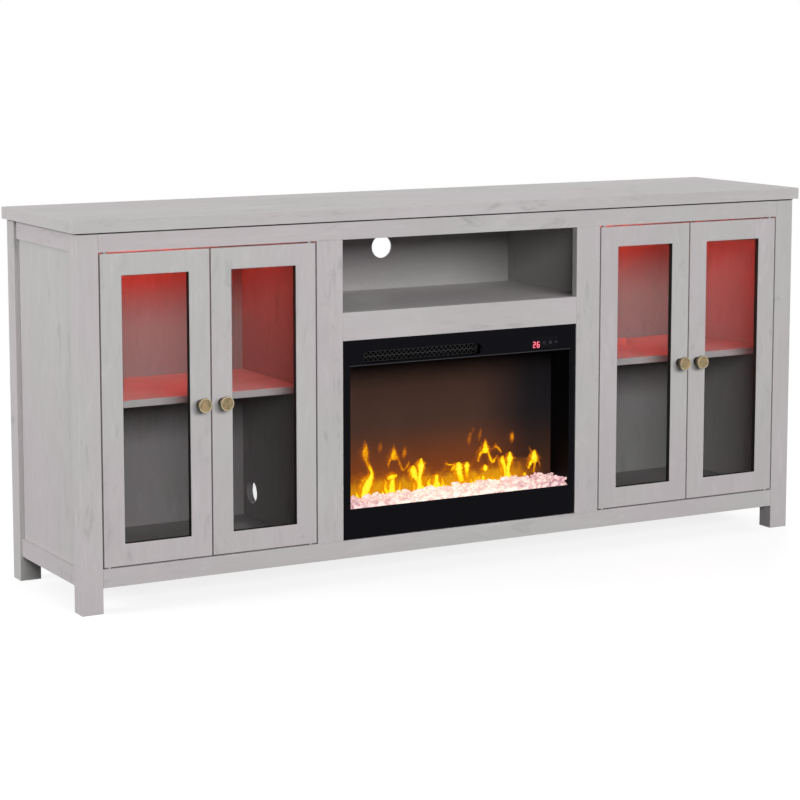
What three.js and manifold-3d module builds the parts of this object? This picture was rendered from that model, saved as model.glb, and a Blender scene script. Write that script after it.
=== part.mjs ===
// A long, low media cabinet with four glass doors, an open niche and an electric fireplace insert.
// Millimetres, +Z up. The front faces -Y, and the origin is on the floor under the middle of its box.

import * as THREE from "three";
import { mergeVertices } from "three/addons/utils/BufferGeometryUtils.js";
import Module from "manifold-3d";

const wasm = await Module();
wasm.setup();

// Overall size
const topWidth = 1778;
const topDepth = 400;
const topThickness = 25;
const overallHeight = 792;
const topSideOverhang = 10.5;
const topFrontOverhang = 9;
const topBackOverhang = 2;

// The recessed line that runs round the frame just under the tabletop
const shadowLineHeight = 3.5;
const shadowLineDepth = 4;

// Legs, rails and stiles
const legWidth = 46;
const legDepth = 41;
const railThickness = 18;
const footHeight = 52.5;
const bottomRailHeight = 38;
const topRailHeight = 40;
const centreRailHeight = 59.5;
const stileWidth = 60.5;
const centreOpeningWidth = 579;
const insertOpeningHeight = 424.5;
const sideRailRecess = 5;
const sidePanelRecess = 6;

// Boards inside
const boardThickness = 15;
const floorDrop = 2.5;
const nicheFloorDrop = 3;
const shelfRise = 312;
const shelfSetback = 58.5;
const backPanelThickness = 5;
const backPanelInset = 23;
const cableHoleRadius = 25.5;
const dividerHoleRise = 57;
const dividerHoleSetback = 42;
const nicheHoleHeightShare = 0.48849;

// Doors
const doorGap = 3;
const doorThickness = 18;
const doorStileWidth = 45.5;
const doorRailHeight = 44.5;
const rebateDepth = 5.5;
const rebateWidth = 8;
const doorGlassThickness = 4;
const doorGlassPlay = 0.5;

// Door pivots: the axis lies inside the door, near its hinge edge and its face
const pivotSideInset = 12;
const pivotFaceInset = 7;
const pinRadius = 2.5;
const pinPlay = 0.4;
const pinDepthInDoor = 20;
const pinDepthInRail = 10;
const pinCollarRadius = 5;

// Knobs
const knobReach = 26;
const knobRadius = 15;
const knobEdge = 6;
const knobBevel = 1.5;
const knobBaseRadius = 9;
const knobBaseThickness = 2;
const knobNeckRadius = 5.5;
const knobNeckLength = 9;

// Light strips
const ledLength = 300;
const ledWidth = 14;
const ledHeight = 9;
const ledSetback = 80;

// Fireplace insert, front
const insertGap = 1.5;
const insertSetback = 0.5;
const insertFrameThickness = 3;
const windowSideMargin = 16;
const windowBottomMargin = 64;
const controlBandHeight = 54.5;
const outletLength = 289;
const outletHeight = 25;
const outletOffset = 96.5;
const outletDrop = 37;
const controlWidth = 67;
const controlHeight = 26;
const controlOffset = 211.5;
const controlDrop = 33.5;
const controlLip = 2;
const controlDepth = 8;
const controlPlay = 0.4;
const insertGlassThickness = 3;

// Fireplace insert, body
const caseInset = 6;
const caseRoofDrop = 1.5;
const caseDepth = 161.5;
const sheetThickness = 2;
const innerPlay = 0.5;
const footPadLength = 40;
const footPadDepth = 30;
const footPadOffset = 200;
const footPadMargin = 10;
const ledgeDrop = 6;
const ductFloorDrop = 51.5;
const fireboxDepth = 81.5;
const screenThickness = 3;
const ventCount = 14;
const ventWidth = 8;
const ventPitch = 22;
const ventMargin = 8;

// Crystal bed
const crystalBase = 16;
const crystalBump = 12;
const crystalColumns = 40;
const crystalRows = 5;

// Heater and blower
const blowerRadius = 19;
const blowerLength = 250;
const blowerOffset = 100;
const blowerSetback = 75;
const blowerDiscThickness = 2;
const bladeCount = 16;
const bladeWidth = 6;
const bladeThickness = 1.2;
const shaftRadius = 3;
const shaftPlay = 0.4;
const shaftLength = 18;
const bearingThickness = 8;
const bearingHalfWidth = 9;
const blowerMotorRadius = 18.5;
const blowerMotorLength = 42;
const motorGap = 15;
const motorFootHalfWidth = 12;
const heaterSetback = 14;
const heaterDepth = 20;
const heaterLength = 282;
const heaterClearance = 1;
const heaterEndWidth = 4;
const heaterRowCount = 2;
const heaterRowHeight = 9;
const heaterRailThickness = 1.5;
const finFoldCount = 24;
const finThickness = 1.2;

// Flame spindle
const spindleSetback = 115;
const spindleRise = 27;
const flapCount = 20;
const flapRadius = 17;
const flapPitch = 24;
const flapLength = 18;
const flapThickness = 1.2;
const flapTurn = THREE.MathUtils.degToRad(50);
const spindleMotorRadius = 16;
const spindleMotorLength = 30;

// Mains inlet
const inletOffset = 230;
const inletRise = 30;
const inletSpigotRadius = 8;
const inletPlay = 0.4;
const inletFlangeRadius = 12;
const inletFlangeLength = 5;
const inletNutRadius = 11;
const inletNutLength = 4;
const inletBoreRadius = 3.6;

// One overrun for every cut, and the facets of round pieces
const overrun = 5;
const holeFacets = 32;
const smallFacets = 16;
const knobFacets = 28;

// Levels
const topUnderZ = overallHeight - topThickness;
const topRailUnderZ = topUnderZ - topRailHeight;
const bottomRailTopZ = footHeight + bottomRailHeight;
const floorTopZ = bottomRailTopZ - floorDrop;
const floorUnderZ = floorTopZ - boardThickness;
const centreRailUnderZ = bottomRailTopZ + insertOpeningHeight;
const centreRailTopZ = centreRailUnderZ + centreRailHeight;
const nicheFloorTopZ = centreRailTopZ - nicheFloorDrop;
const nicheFloorUnderZ = nicheFloorTopZ - boardThickness;
const shelfUnderZ = floorTopZ + shelfRise;
const shadowLineZ = topUnderZ - shadowLineHeight;

// Depths
const overallDepth = topDepth - topFrontOverhang + knobReach;
const topBackY = overallDepth / 2;
const topFrontY = topBackY - topDepth;
const faceY = topFrontY + topFrontOverhang;
const backY = topBackY - topBackOverhang;
const railBackY = faceY + railThickness;
const legFrontEndY = faceY + legDepth;
const legBackStartY = backY - legDepth;
const backPanelRearY = backY - backPanelInset;
const backPanelFrontY = backPanelRearY - backPanelThickness;
const shelfFrontY = railBackY + shelfSetback;

// Widths, measured from the middle
const frameHalf = topWidth / 2 - topSideOverhang;
const legInnerX = frameHalf - legWidth;
const centreHalf = centreOpeningWidth / 2;
const stileOuterX = centreHalf + stileWidth;
const dividerInnerX = stileOuterX - boardThickness;
const dividerMiddleX = stileOuterX - boardThickness / 2;
const sideRailOuterX = frameHalf - sideRailRecess;
const sideInnerX = sideRailOuterX - railThickness;
const sidePanelOuterX = sideRailOuterX - sidePanelRecess;
const cabinetMiddleX = (stileOuterX + legInnerX) / 2;

// Doors
const doorWidth = (legInnerX - stileOuterX - 3 * doorGap) / 2;
const doorUnderZ = bottomRailTopZ + doorGap;
const doorHeight = topRailUnderZ - doorGap - doorUnderZ;
const pivotY = faceY + pivotFaceInset;
const outerPivotX = legInnerX - doorGap - pivotSideInset;
const innerPivotX = stileOuterX + doorGap + pivotSideInset;
const pinHoleRadius = (pinRadius + pinPlay) / Math.cos(Math.PI / smallFacets);
const shaftHoleRadius = (shaftRadius + shaftPlay) / Math.cos(Math.PI / smallFacets);

const materials = {
  laminate: new THREE.MeshStandardMaterial({ color: 0xb9b6b4, roughness: 0.6, metalness: 0 }),
  board: new THREE.MeshStandardMaterial({ color: 0xb1aeac, roughness: 0.65, metalness: 0 }),
  glass: new THREE.MeshStandardMaterial({
    color: 0xdfe6e8,
    roughness: 0.05,
    metalness: 0,
    transparent: true,
    opacity: 0.3,
  }),
  brass: new THREE.MeshStandardMaterial({ color: 0x94794a, roughness: 0.4, metalness: 0.9 }),
  steel: new THREE.MeshStandardMaterial({ color: 0x9a9c9f, roughness: 0.35, metalness: 1 }),
  blackMetal: new THREE.MeshStandardMaterial({ color: 0x121215, roughness: 0.4, metalness: 0.4 }),
  blackPlastic: new THREE.MeshStandardMaterial({ color: 0x17171a, roughness: 0.3, metalness: 0 }),
  screen: new THREE.MeshStandardMaterial({ color: 0x4a362f, roughness: 0.5, metalness: 0 }),
  crystal: new THREE.MeshStandardMaterial({ color: 0xf2cfcb, roughness: 0.1, metalness: 0 }),
  redLight: new THREE.MeshStandardMaterial({ color: 0xff4a3a, roughness: 0.4, metalness: 0 }),
  aluminium: new THREE.MeshStandardMaterial({ color: 0xb4b6b8, roughness: 0.4, metalness: 1 }),
};

// A box geometry between a low and a high corner.
function boxBetween(low, high) {
  const size = high.map((value, i) => value - low[i]);
  const middle = high.map((value, i) => (value + low[i]) / 2);
  return new THREE.BoxGeometry(...size).translate(...middle);
}

// A round bar about a middle point, along x, y or z.
function bar(axis, radius, length, facets, middle) {
  const geometry = new THREE.CylinderGeometry(radius, radius, length, facets);
  if (axis === "x") geometry.rotateZ(Math.PI / 2);
  if (axis === "z") geometry.rotateX(Math.PI / 2);
  return geometry.translate(...middle);
}

// A geometry as a solid for cutting and joining.
function solidOf(geometry) {
  const bare = geometry.clone();
  bare.deleteAttribute("normal");
  bare.deleteAttribute("uv");
  const merged = mergeVertices(bare);
  const vertProperties = merged.getAttribute("position").array;
  const triVerts = new Uint32Array(merged.index.array);
  return new wasm.Manifold(new wasm.Mesh({ numProp: 3, vertProperties, triVerts }));
}

// A solid back as a geometry.
function geometryOf(solid) {
  const mesh = solid.getMesh();
  const geometry = new THREE.BufferGeometry();
  geometry.setAttribute("position", new THREE.BufferAttribute(mesh.vertProperties, 3));
  geometry.setIndex(new THREE.BufferAttribute(mesh.triVerts, 1));
  geometry.computeVertexNormals();
  return geometry;
}

// Geometries joined into one solid, less the geometries that cut it.
function carve(joined, cuts) {
  let solid = solidOf(joined[0]);
  for (const geometry of joined.slice(1)) solid = solid.add(solidOf(geometry));
  for (const geometry of cuts) solid = solid.subtract(solidOf(geometry));
  return geometryOf(solid);
}

function addMesh(group, name, geometry, material, position = [0, 0, 0]) {
  const mesh = new THREE.Mesh(geometry, material);
  mesh.name = name;
  mesh.position.set(...position);
  group.add(mesh);
}

// A plain board between a low and a high corner, placed by its middle.
function addBoard(group, name, material, low, high) {
  const size = high.map((value, i) => value - low[i]);
  const middle = high.map((value, i) => (value + low[i]) / 2);
  addMesh(group, name, new THREE.BoxGeometry(...size), material, middle);
}

// Low and high corners with x mirrored for the left side.
function mirrored(side, low, high) {
  if (side > 0) return [low, high];
  const [lowX, ...lowRest] = low;
  const [highX, ...highRest] = high;
  return [
    [-highX, ...lowRest],
    [-lowX, ...highRest],
  ];
}

const sides = [
  { name: "left", sign: -1 },
  { name: "right", sign: 1 },
];

// Tabletop
function makeTabletop(group) {
  const low = [-topWidth / 2, topFrontY, topUnderZ];
  const high = [topWidth / 2, topBackY, overallHeight];
  addBoard(group, "tabletop", materials.laminate, low, high);
}

// A leg, with the shadow line cut into its outer side and, at the front, into its face.
function makeLeg(group, side, place) {
  const atFront = place === "front";
  const startY = atFront ? faceY : legBackStartY;
  const endY = atFront ? legFrontEndY : backY;
  const [low, high] = mirrored(side.sign, [legInnerX, startY, 0], [frameHalf, endY, topUnderZ]);
  const cuts = [
    mirrored(
      side.sign,
      [frameHalf - shadowLineDepth, startY - overrun, shadowLineZ],
      [frameHalf + overrun, endY + overrun, topUnderZ + overrun],
    ),
  ];
  if (atFront) {
    cuts.push(
      mirrored(
        side.sign,
        [legInnerX - overrun, faceY - overrun, shadowLineZ],
        [frameHalf + overrun, faceY + shadowLineDepth, topUnderZ + overrun],
      ),
    );
  }
  const geometry = carve(
    [boxBetween(low, high)],
    cuts.map(([cutLow, cutHigh]) => boxBetween(cutLow, cutHigh)),
  );
  addMesh(group, `leg_${place}_${side.name}`, geometry, materials.laminate);
}

// The blind holes in a rail for the doors' pivot pins.
function pinHoles(mouthZ, direction) {
  const length = pinDepthInRail + overrun;
  const middleZ = mouthZ + (direction * (pinDepthInRail - overrun)) / 2;
  return [outerPivotX, innerPivotX].flatMap((x) =>
    sides.map(({ sign }) => bar("z", pinHoleRadius, length, smallFacets, [sign * x, pivotY, middleZ])),
  );
}

// Front rails, stiles and the rail between the niche and the insert
function makeFrontFrame(group) {
  const topRail = carve(
    [boxBetween([-legInnerX, faceY, topRailUnderZ], [legInnerX, railBackY, topUnderZ])],
    [
      boxBetween(
        [-legInnerX - overrun, faceY - overrun, shadowLineZ],
        [legInnerX + overrun, faceY + shadowLineDepth, topUnderZ + overrun],
      ),
      ...pinHoles(topRailUnderZ, 1),
    ],
  );
  addMesh(group, "front_top_rail", topRail, materials.laminate);
  const bottomRail = carve(
    [boxBetween([-legInnerX, faceY, footHeight], [legInnerX, railBackY, bottomRailTopZ])],
    pinHoles(bottomRailTopZ, -1),
  );
  addMesh(group, "front_bottom_rail", bottomRail, materials.laminate);
  for (const { name, sign } of sides) {
    const [low, high] = mirrored(
      sign,
      [centreHalf, faceY, bottomRailTopZ],
      [stileOuterX, railBackY, topRailUnderZ],
    );
    addBoard(group, `centre_stile_${name}`, materials.laminate, low, high);
  }
  addBoard(
    group,
    "centre_rail",
    materials.laminate,
    [-centreHalf, faceY, centreRailUnderZ],
    [centreHalf, railBackY, centreRailTopZ],
  );
}

// A side: two rails between the legs and a panel set back between them
function makeSideFrame(group, side) {
  const [topLow, topHigh] = mirrored(
    side.sign,
    [sideInnerX, legFrontEndY, topRailUnderZ],
    [sideRailOuterX, legBackStartY, topUnderZ],
  );
  const [lineLow, lineHigh] = mirrored(
    side.sign,
    [sideRailOuterX - shadowLineDepth, legFrontEndY - overrun, shadowLineZ],
    [sideRailOuterX + overrun, legBackStartY + overrun, topUnderZ + overrun],
  );
  const topRail = carve([boxBetween(topLow, topHigh)], [boxBetween(lineLow, lineHigh)]);
  addMesh(group, `side_top_rail_${side.name}`, topRail, materials.laminate);
  const [bottomLow, bottomHigh] = mirrored(
    side.sign,
    [sideInnerX, legFrontEndY, footHeight],
    [sideRailOuterX, legBackStartY, bottomRailTopZ],
  );
  addBoard(group, `side_bottom_rail_${side.name}`, materials.laminate, bottomLow, bottomHigh);
  const [panelLow, panelHigh] = mirrored(
    side.sign,
    [sideInnerX, legFrontEndY, bottomRailTopZ],
    [sidePanelOuterX, legBackStartY, topRailUnderZ],
  );
  addBoard(group, `side_panel_${side.name}`, materials.laminate, panelLow, panelHigh);
}

// An upright divider with a cable hole low at the back
function makeDivider(group, side) {
  const [low, high] = mirrored(
    side.sign,
    [dividerInnerX, railBackY, floorTopZ],
    [stileOuterX, backPanelFrontY, topUnderZ],
  );
  const holeMiddle = [
    side.sign * dividerMiddleX,
    backPanelFrontY - dividerHoleSetback,
    floorTopZ + dividerHoleRise,
  ];
  const hole = bar("x", cableHoleRadius, boardThickness + 2 * overrun, holeFacets, holeMiddle);
  addMesh(group, `divider_${side.name}`, carve([boxBetween(low, high)], [hole]), materials.board);
}

// A flat board whose outline is given by points in plan, from its underside up
function addPlate(group, name, outline, underZ) {
  const shape = new THREE.Shape(outline.map(([x, y]) => new THREE.Vector2(x, y)));
  const geometry = new THREE.ExtrudeGeometry(shape, { depth: boardThickness, bevelEnabled: false });
  addMesh(group, name, geometry, materials.board, [0, 0, underZ]);
}

// The floor, notched round the four legs, and the shelves, notched round the back legs
function makeLevelBoards(group) {
  const rightHalf = [
    [legInnerX, railBackY],
    [legInnerX, legFrontEndY],
    [sideInnerX, legFrontEndY],
    [sideInnerX, legBackStartY],
    [legInnerX, legBackStartY],
    [legInnerX, backPanelRearY],
  ];
  const leftHalf = rightHalf.map(([x, y]) => [-x, y]).reverse();
  addPlate(group, "bottom_panel", [...rightHalf, ...leftHalf], floorUnderZ);
  for (const { name, sign } of sides) {
    const outline = [
      [stileOuterX, shelfFrontY],
      [sideInnerX, shelfFrontY],
      [sideInnerX, legBackStartY],
      [legInnerX, legBackStartY],
      [legInnerX, backPanelFrontY],
      [stileOuterX, backPanelFrontY],
    ].map(([x, y]) => [sign * x, y]);
    addPlate(group, `cabinet_shelf_${name}`, outline, shelfUnderZ);
  }
  addBoard(
    group,
    "niche_shelf",
    materials.board,
    [-dividerInnerX, railBackY, nicheFloorUnderZ],
    [dividerInnerX, backPanelFrontY, nicheFloorTopZ],
  );
}

// Back panels behind the cabinets and the niche, and the rail below them
function makeBack(group) {
  for (const { name, sign } of sides) {
    const [low, high] = mirrored(
      sign,
      [dividerMiddleX, backPanelFrontY, floorTopZ],
      [legInnerX, backPanelRearY, topUnderZ],
    );
    addBoard(group, `back_panel_${name}`, materials.board, low, high);
  }
  const panel = boxBetween(
    [-dividerMiddleX, backPanelFrontY, nicheFloorUnderZ],
    [dividerMiddleX, backPanelRearY, topUnderZ],
  );
  const holeZ = nicheFloorTopZ + nicheHoleHeightShare * (topUnderZ - nicheFloorTopZ);
  const holeMiddle = [0, (backPanelFrontY + backPanelRearY) / 2, holeZ];
  const hole = bar("y", cableHoleRadius, backPanelThickness + 2 * overrun, holeFacets, holeMiddle);
  addMesh(group, "back_panel_niche", carve([panel], [hole]), materials.board);
  addBoard(
    group,
    "back_bottom_rail",
    materials.board,
    [-legInnerX, backPanelRearY, footHeight],
    [legInnerX, backPanelRearY + railThickness, bottomRailTopZ],
  );
}

// Red light strips under the tabletop, near the back of the end cabinets
function makeLights(group) {
  const middleY = backPanelFrontY - ledSetback;
  for (const { name, sign } of sides) {
    const middleX = sign * cabinetMiddleX;
    addBoard(
      group,
      `led_strip_${name}`,
      materials.redLight,
      [middleX - ledLength / 2, middleY - ledWidth / 2, topUnderZ - ledHeight],
      [middleX + ledLength / 2, middleY + ledWidth / 2, topUnderZ],
    );
  }
}

// A turned knob: base, neck and a thick disc with bevelled edges, pointing to -Y
function knobGeometry() {
  const discBack = -knobReach + knobEdge + 2 * knobBevel;
  const neckEnd = -knobBaseThickness - knobNeckLength;
  const profile = [
    [0, -knobReach],
    [knobRadius - 2 * knobBevel, -knobReach],
    [knobRadius, -knobReach + knobBevel],
    [knobRadius, -knobReach + knobBevel + knobEdge],
    [knobRadius - knobBevel, discBack],
    [knobNeckRadius, neckEnd],
    [knobNeckRadius, -2 * knobBaseThickness],
    [knobBaseRadius, -knobBaseThickness],
    [knobBaseRadius, 0],
    [0, 0],
  ];
  const points = profile.map(([radius, y]) => new THREE.Vector2(radius, y));
  return new THREE.LatheGeometry(points, knobFacets);
}

// A pivot pin that stands up from the door into the rail, with a collar in the gap
function pinGeometry() {
  const collarTop = doorGap - pinPlay;
  const tip = doorGap + pinDepthInRail - pinPlay;
  const profile = [
    [0, -pinDepthInDoor],
    [pinRadius, -pinDepthInDoor],
    [pinRadius, 0],
    [pinCollarRadius, 0],
    [pinCollarRadius, collarTop],
    [pinRadius, collarTop],
    [pinRadius, tip],
    [0, tip],
  ];
  const points = profile.map(([radius, y]) => new THREE.Vector2(radius, y));
  return new THREE.LatheGeometry(points, smallFacets).rotateX(Math.PI / 2);
}

// One door about its pivot. "reach" is +1 or -1, the way from the pivot to the free edge.
function makeDoor(cabinet, name, pivotX, reach) {
  const door = new THREE.Group();
  door.position.set(pivotX, pivotY, doorUnderZ);
  cabinet.add(door);
  const span = (near, far) => (reach > 0 ? [near, far] : [-far, -near]);
  const between = (near, far, front, back, under, over) => {
    const [lowX, highX] = span(near, far);
    return boxBetween([lowX, front, under], [highX, back, over]);
  };
  const near = -pivotSideInset;
  const far = doorWidth - pivotSideInset;
  const front = -pivotFaceInset;
  const back = front + doorThickness;
  const nearEdge = near + doorStileWidth;
  const farEdge = far - doorStileWidth;
  const underEdge = doorRailHeight;
  const overEdge = doorHeight - doorRailHeight;
  const lipBack = back - rebateDepth;
  const holeLength = pinDepthInDoor + pinPlay + overrun;
  const holeShift = (holeLength - 2 * overrun) / 2;
  const frame = carve(
    [between(near, far, front, back, 0, doorHeight)],
    [
      between(nearEdge, farEdge, front - overrun, back + overrun, underEdge, overEdge),
      between(
        nearEdge - rebateWidth,
        farEdge + rebateWidth,
        lipBack,
        back + overrun,
        underEdge - rebateWidth,
        overEdge + rebateWidth,
      ),
      bar("z", pinHoleRadius, holeLength, smallFacets, [0, 0, holeShift]),
      bar("z", pinHoleRadius, holeLength, smallFacets, [0, 0, doorHeight - holeShift]),
    ],
  );
  addMesh(door, `door_${name}_frame`, frame, materials.laminate);
  const paneMargin = rebateWidth - doorGlassPlay;
  const [paneLowX, paneHighX] = span(nearEdge - paneMargin, farEdge + paneMargin);
  addBoard(
    door,
    `door_${name}_glass`,
    materials.glass,
    [paneLowX, lipBack, underEdge - paneMargin],
    [paneHighX, lipBack + doorGlassThickness, overEdge + paneMargin],
  );
  const knobX = reach * (far - doorStileWidth / 2);
  addMesh(door, `door_${name}_knob`, knobGeometry(), materials.brass, [knobX, front, doorHeight / 2]);
  addMesh(door, `door_${name}_pin_top`, pinGeometry(), materials.steel, [0, 0, doorHeight]);
  addMesh(door, `door_${name}_pin_bottom`, pinGeometry().rotateX(Math.PI), materials.steel);
}

// Insert, measured from the cabinet's face, the middle, and the top of the bottom rail
const insertHalf = centreHalf - insertGap;
const insertTop = insertOpeningHeight - insertGap;
const frameBack = insertSetback + insertFrameThickness;
const windowHalf = insertHalf - windowSideMargin;
const windowUnder = insertGap + windowBottomMargin;
const windowOver = insertTop - controlBandHeight;
const caseHalf = insertHalf - caseInset;
const caseUnder = 2 * insertGap;
const caseOver = insertTop - caseRoofDrop;
const caseBack = frameBack + caseDepth;
const roomHalf = caseHalf - sheetThickness;
const roomBack = caseBack - sheetThickness;
const ledgeTop = windowUnder - ledgeDrop;
const ductFloorUnder = insertTop - ductFloorDrop;
const ductFloorTop = ductFloorUnder + sheetThickness;
const ductTop = caseOver - sheetThickness;
const glassBack = frameBack + insertGlassThickness;
const screenFront = frameBack + fireboxDepth;
const screenBack = screenFront + screenThickness;
const blowerZ = (ductFloorTop + ductTop) / 2;
const blowerLeft = -blowerOffset - blowerLength / 2;
const blowerRight = -blowerOffset + blowerLength / 2;
const spindleZ = ledgeTop + spindleRise;
const spindleMotorLeft = roomHalf - innerPlay - spindleMotorLength - bearingThickness;

// The black front frame with the warm air's round-ended outlet, the window and the control panel's cut-out
function makeInsertFrame(insert) {
  const plate = boxBetween([-insertHalf, insertSetback, insertGap], [insertHalf, frameBack, insertTop]);
  const through = (left, right, under, over) =>
    boxBetween([left, insertSetback - overrun, under], [right, frameBack + overrun, over]);
  const outletZ = insertTop - outletDrop;
  const controlZ = insertTop - controlDrop;
  const endRadius = outletHeight / 2;
  const straightHalf = outletLength / 2 - endRadius;
  const cuts = [
    through(-windowHalf, windowHalf, windowUnder, windowOver),
    through(
      controlOffset - controlWidth / 2,
      controlOffset + controlWidth / 2,
      controlZ - controlHeight / 2,
      controlZ + controlHeight / 2,
    ),
    through(
      -outletOffset - straightHalf,
      -outletOffset + straightHalf,
      outletZ - outletHeight / 2,
      outletZ + outletHeight / 2,
    ),
    ...[-straightHalf, straightHalf].map((x) =>
      bar("y", endRadius, insertFrameThickness + 2 * overrun, holeFacets, [
        x - outletOffset,
        (insertSetback + frameBack) / 2,
        outletZ,
      ]),
    ),
  ];
  addMesh(insert, "insert_front_frame", carve([plate], cuts), materials.blackMetal);
}

// The sheet-steel body: an air duct over the firebox, the firebox, and a space under its ledge
function makeInsertCase(insert) {
  const room = (under, over) =>
    boxBetween([-roomHalf, frameBack - overrun, under], [roomHalf, roomBack, over]);
  const pads = [-1, 1].flatMap((sign) =>
    [railThickness + footPadMargin, roomBack - footPadMargin - footPadDepth].map((front) => {
      const middleX = sign * (footPadOffset + footPadLength / 2);
      return boxBetween(
        [middleX - footPadLength / 2, front, -floorDrop],
        [middleX + footPadLength / 2, front + footPadDepth, caseUnder + sheetThickness / 2],
      );
    }),
  );
  const blowerBearing = boxBetween(
    [blowerLeft - motorGap, blowerSetback - bearingHalfWidth, ductFloorUnder],
    [
      blowerLeft - motorGap + bearingThickness,
      blowerSetback + bearingHalfWidth,
      blowerZ + bearingHalfWidth,
    ],
  );
  const spindleBearing = boxBetween(
    [-roomHalf - sheetThickness / 2, spindleSetback - bearingHalfWidth, spindleZ - bearingHalfWidth],
    [-roomHalf + bearingThickness, spindleSetback + bearingHalfWidth, spindleZ + bearingHalfWidth],
  );
  const vents = Array.from({ length: ventCount }, (_, i) => {
    const middleX = (i - (ventCount - 1) / 2) * ventPitch;
    return boxBetween(
      [middleX - ventWidth / 2, roomBack - overrun, ductFloorTop + ventMargin],
      [middleX + ventWidth / 2, caseBack + overrun, ductTop - ventMargin],
    );
  });
  const boreLength = bearingThickness + 2 * overrun;
  const blowerBore = bar("x", shaftHoleRadius, boreLength, smallFacets, [
    blowerLeft - motorGap + bearingThickness / 2,
    blowerSetback,
    blowerZ,
  ]);
  const spindleBore = bar("x", shaftHoleRadius, boreLength - overrun, smallFacets, [
    -roomHalf + (bearingThickness + overrun) / 2,
    spindleSetback,
    spindleZ,
  ]);
  const inletHole = bar(
    "y",
    (inletSpigotRadius + inletPlay) / Math.cos(Math.PI / holeFacets),
    sheetThickness + 2 * overrun,
    holeFacets,
    [inletOffset, roomBack + sheetThickness / 2, inletRise],
  );
  const shell = carve(
    [boxBetween([-caseHalf, frameBack, caseUnder], [caseHalf, caseBack, caseOver])],
    [
      room(caseUnder + sheetThickness, ledgeTop - sheetThickness),
      room(ledgeTop, ductFloorUnder),
      room(ductFloorTop, ductTop),
    ],
  );
  const geometry = carve(
    [shell, ...pads, blowerBearing, spindleBearing],
    [...vents, blowerBore, spindleBore, inletHole],
  );
  addMesh(insert, "insert_case", geometry, materials.blackMetal);
}

// The viewing glass, the rear screen and the touch control panel
function makeInsertPanes(insert) {
  const paneHalf = roomHalf - 2 * innerPlay;
  const paneTop = ductFloorUnder - innerPlay;
  addBoard(
    insert,
    "insert_glass",
    materials.glass,
    [-paneHalf, frameBack, ledgeTop],
    [paneHalf, glassBack, paneTop],
  );
  addBoard(
    insert,
    "flame_screen",
    materials.screen,
    [-paneHalf, screenFront, ledgeTop],
    [paneHalf, screenBack, paneTop],
  );
  const controlZ = insertTop - controlDrop;
  const noseHalf = controlWidth / 2 - controlPlay;
  const noseRise = controlHeight / 2 - controlPlay;
  const lipHalf = controlWidth / 2 + controlLip;
  const lipRise = controlHeight / 2 + controlLip;
  const panel = carve(
    [
      boxBetween([-lipHalf, frameBack, -lipRise], [lipHalf, frameBack + controlDepth, lipRise]),
      boxBetween([-noseHalf, 2 * insertSetback, -noseRise], [noseHalf, frameBack + overrun, noseRise]),
    ],
    [],
  );
  addMesh(insert, "control_panel", panel, materials.blackPlastic, [controlOffset, 0, controlZ]);
}

// The crystal bed: a tray-shaped block whose top rises and falls like heaped glass
function makeCrystalBed(insert) {
  const half = roomHalf - 2 * innerPlay;
  const front = glassBack + innerPlay;
  const back = screenFront - innerPlay;
  const xOf = (i) => -half + (2 * half * i) / crystalColumns;
  const yOf = (j) => front + ((back - front) * j) / crystalRows;
  const heapShare = (i, j) => 0.5 + 0.5 * Math.sin(2.4 * i + 1.7 * j * j) * Math.cos(1.1 * i - 2.3 * j);
  const positions = [];
  const indices = [];
  const across = crystalColumns + 1;
  const levelOf = (i, j) => ledgeTop + crystalBase + crystalBump * heapShare(i, j);
  for (const level of [levelOf, () => ledgeTop]) {
    for (let j = 0; j <= crystalRows; j += 1) {
      for (let i = 0; i <= crystalColumns; i += 1) positions.push(xOf(i), yOf(j), level(i, j));
    }
  }
  const under = across * (crystalRows + 1);
  const quad = (a, b, c, d) => indices.push(a, b, c, a, c, d);
  for (let j = 0; j < crystalRows; j += 1) {
    for (let i = 0; i < crystalColumns; i += 1) {
      const a = j * across + i;
      quad(a, a + 1, a + across + 1, a + across);
      quad(under + a, under + a + across, under + a + across + 1, under + a + 1);
    }
  }
  for (let i = 0; i < crystalColumns; i += 1) {
    const last = crystalRows * across + i;
    quad(under + i, under + i + 1, i + 1, i);
    quad(under + last + 1, under + last, last, last + 1);
  }
  for (let j = 0; j < crystalRows; j += 1) {
    const left = j * across;
    const right = left + crystalColumns;
    quad(under + left + across, under + left, left, left + across);
    quad(under + right, under + right + across, right + across, right);
  }
  const geometry = new THREE.BufferGeometry();
  geometry.setAttribute("position", new THREE.Float32BufferAttribute(positions, 3));
  geometry.setIndex(indices);
  geometry.computeVertexNormals();
  addMesh(insert, "crystal_bed", geometry, materials.crystal);
}

// The air gaps in a row of fins, which are folded to and fro between an under and an upper rail
function finGaps(left, right, under, over) {
  const fold = (right - left) / (2 * finFoldCount);
  const finHalf = (finThickness * Math.hypot(fold, over - under)) / (2 * (over - under));
  const tip = (finHalf * (over - under)) / fold;
  return Array.from({ length: 2 * finFoldCount + 1 }, (_, i) => {
    const middle = left + i * fold;
    const [base, apex] = i % 2 === 0 ? [over, under + tip] : [under, over - tip];
    const low = Math.max(middle - fold + finHalf, left);
    const high = Math.min(middle + fold - finHalf, right);
    const face = new THREE.Shape([
      new THREE.Vector2(low, base),
      new THREE.Vector2(high, base),
      new THREE.Vector2(middle, apex),
    ]);
    const gap = new THREE.ExtrudeGeometry(face, { depth: heaterDepth + 2 * overrun, bevelEnabled: false });
    return gap.rotateX(Math.PI / 2).translate(0, heaterSetback + heaterDepth + overrun, 0);
  });
}

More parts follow.
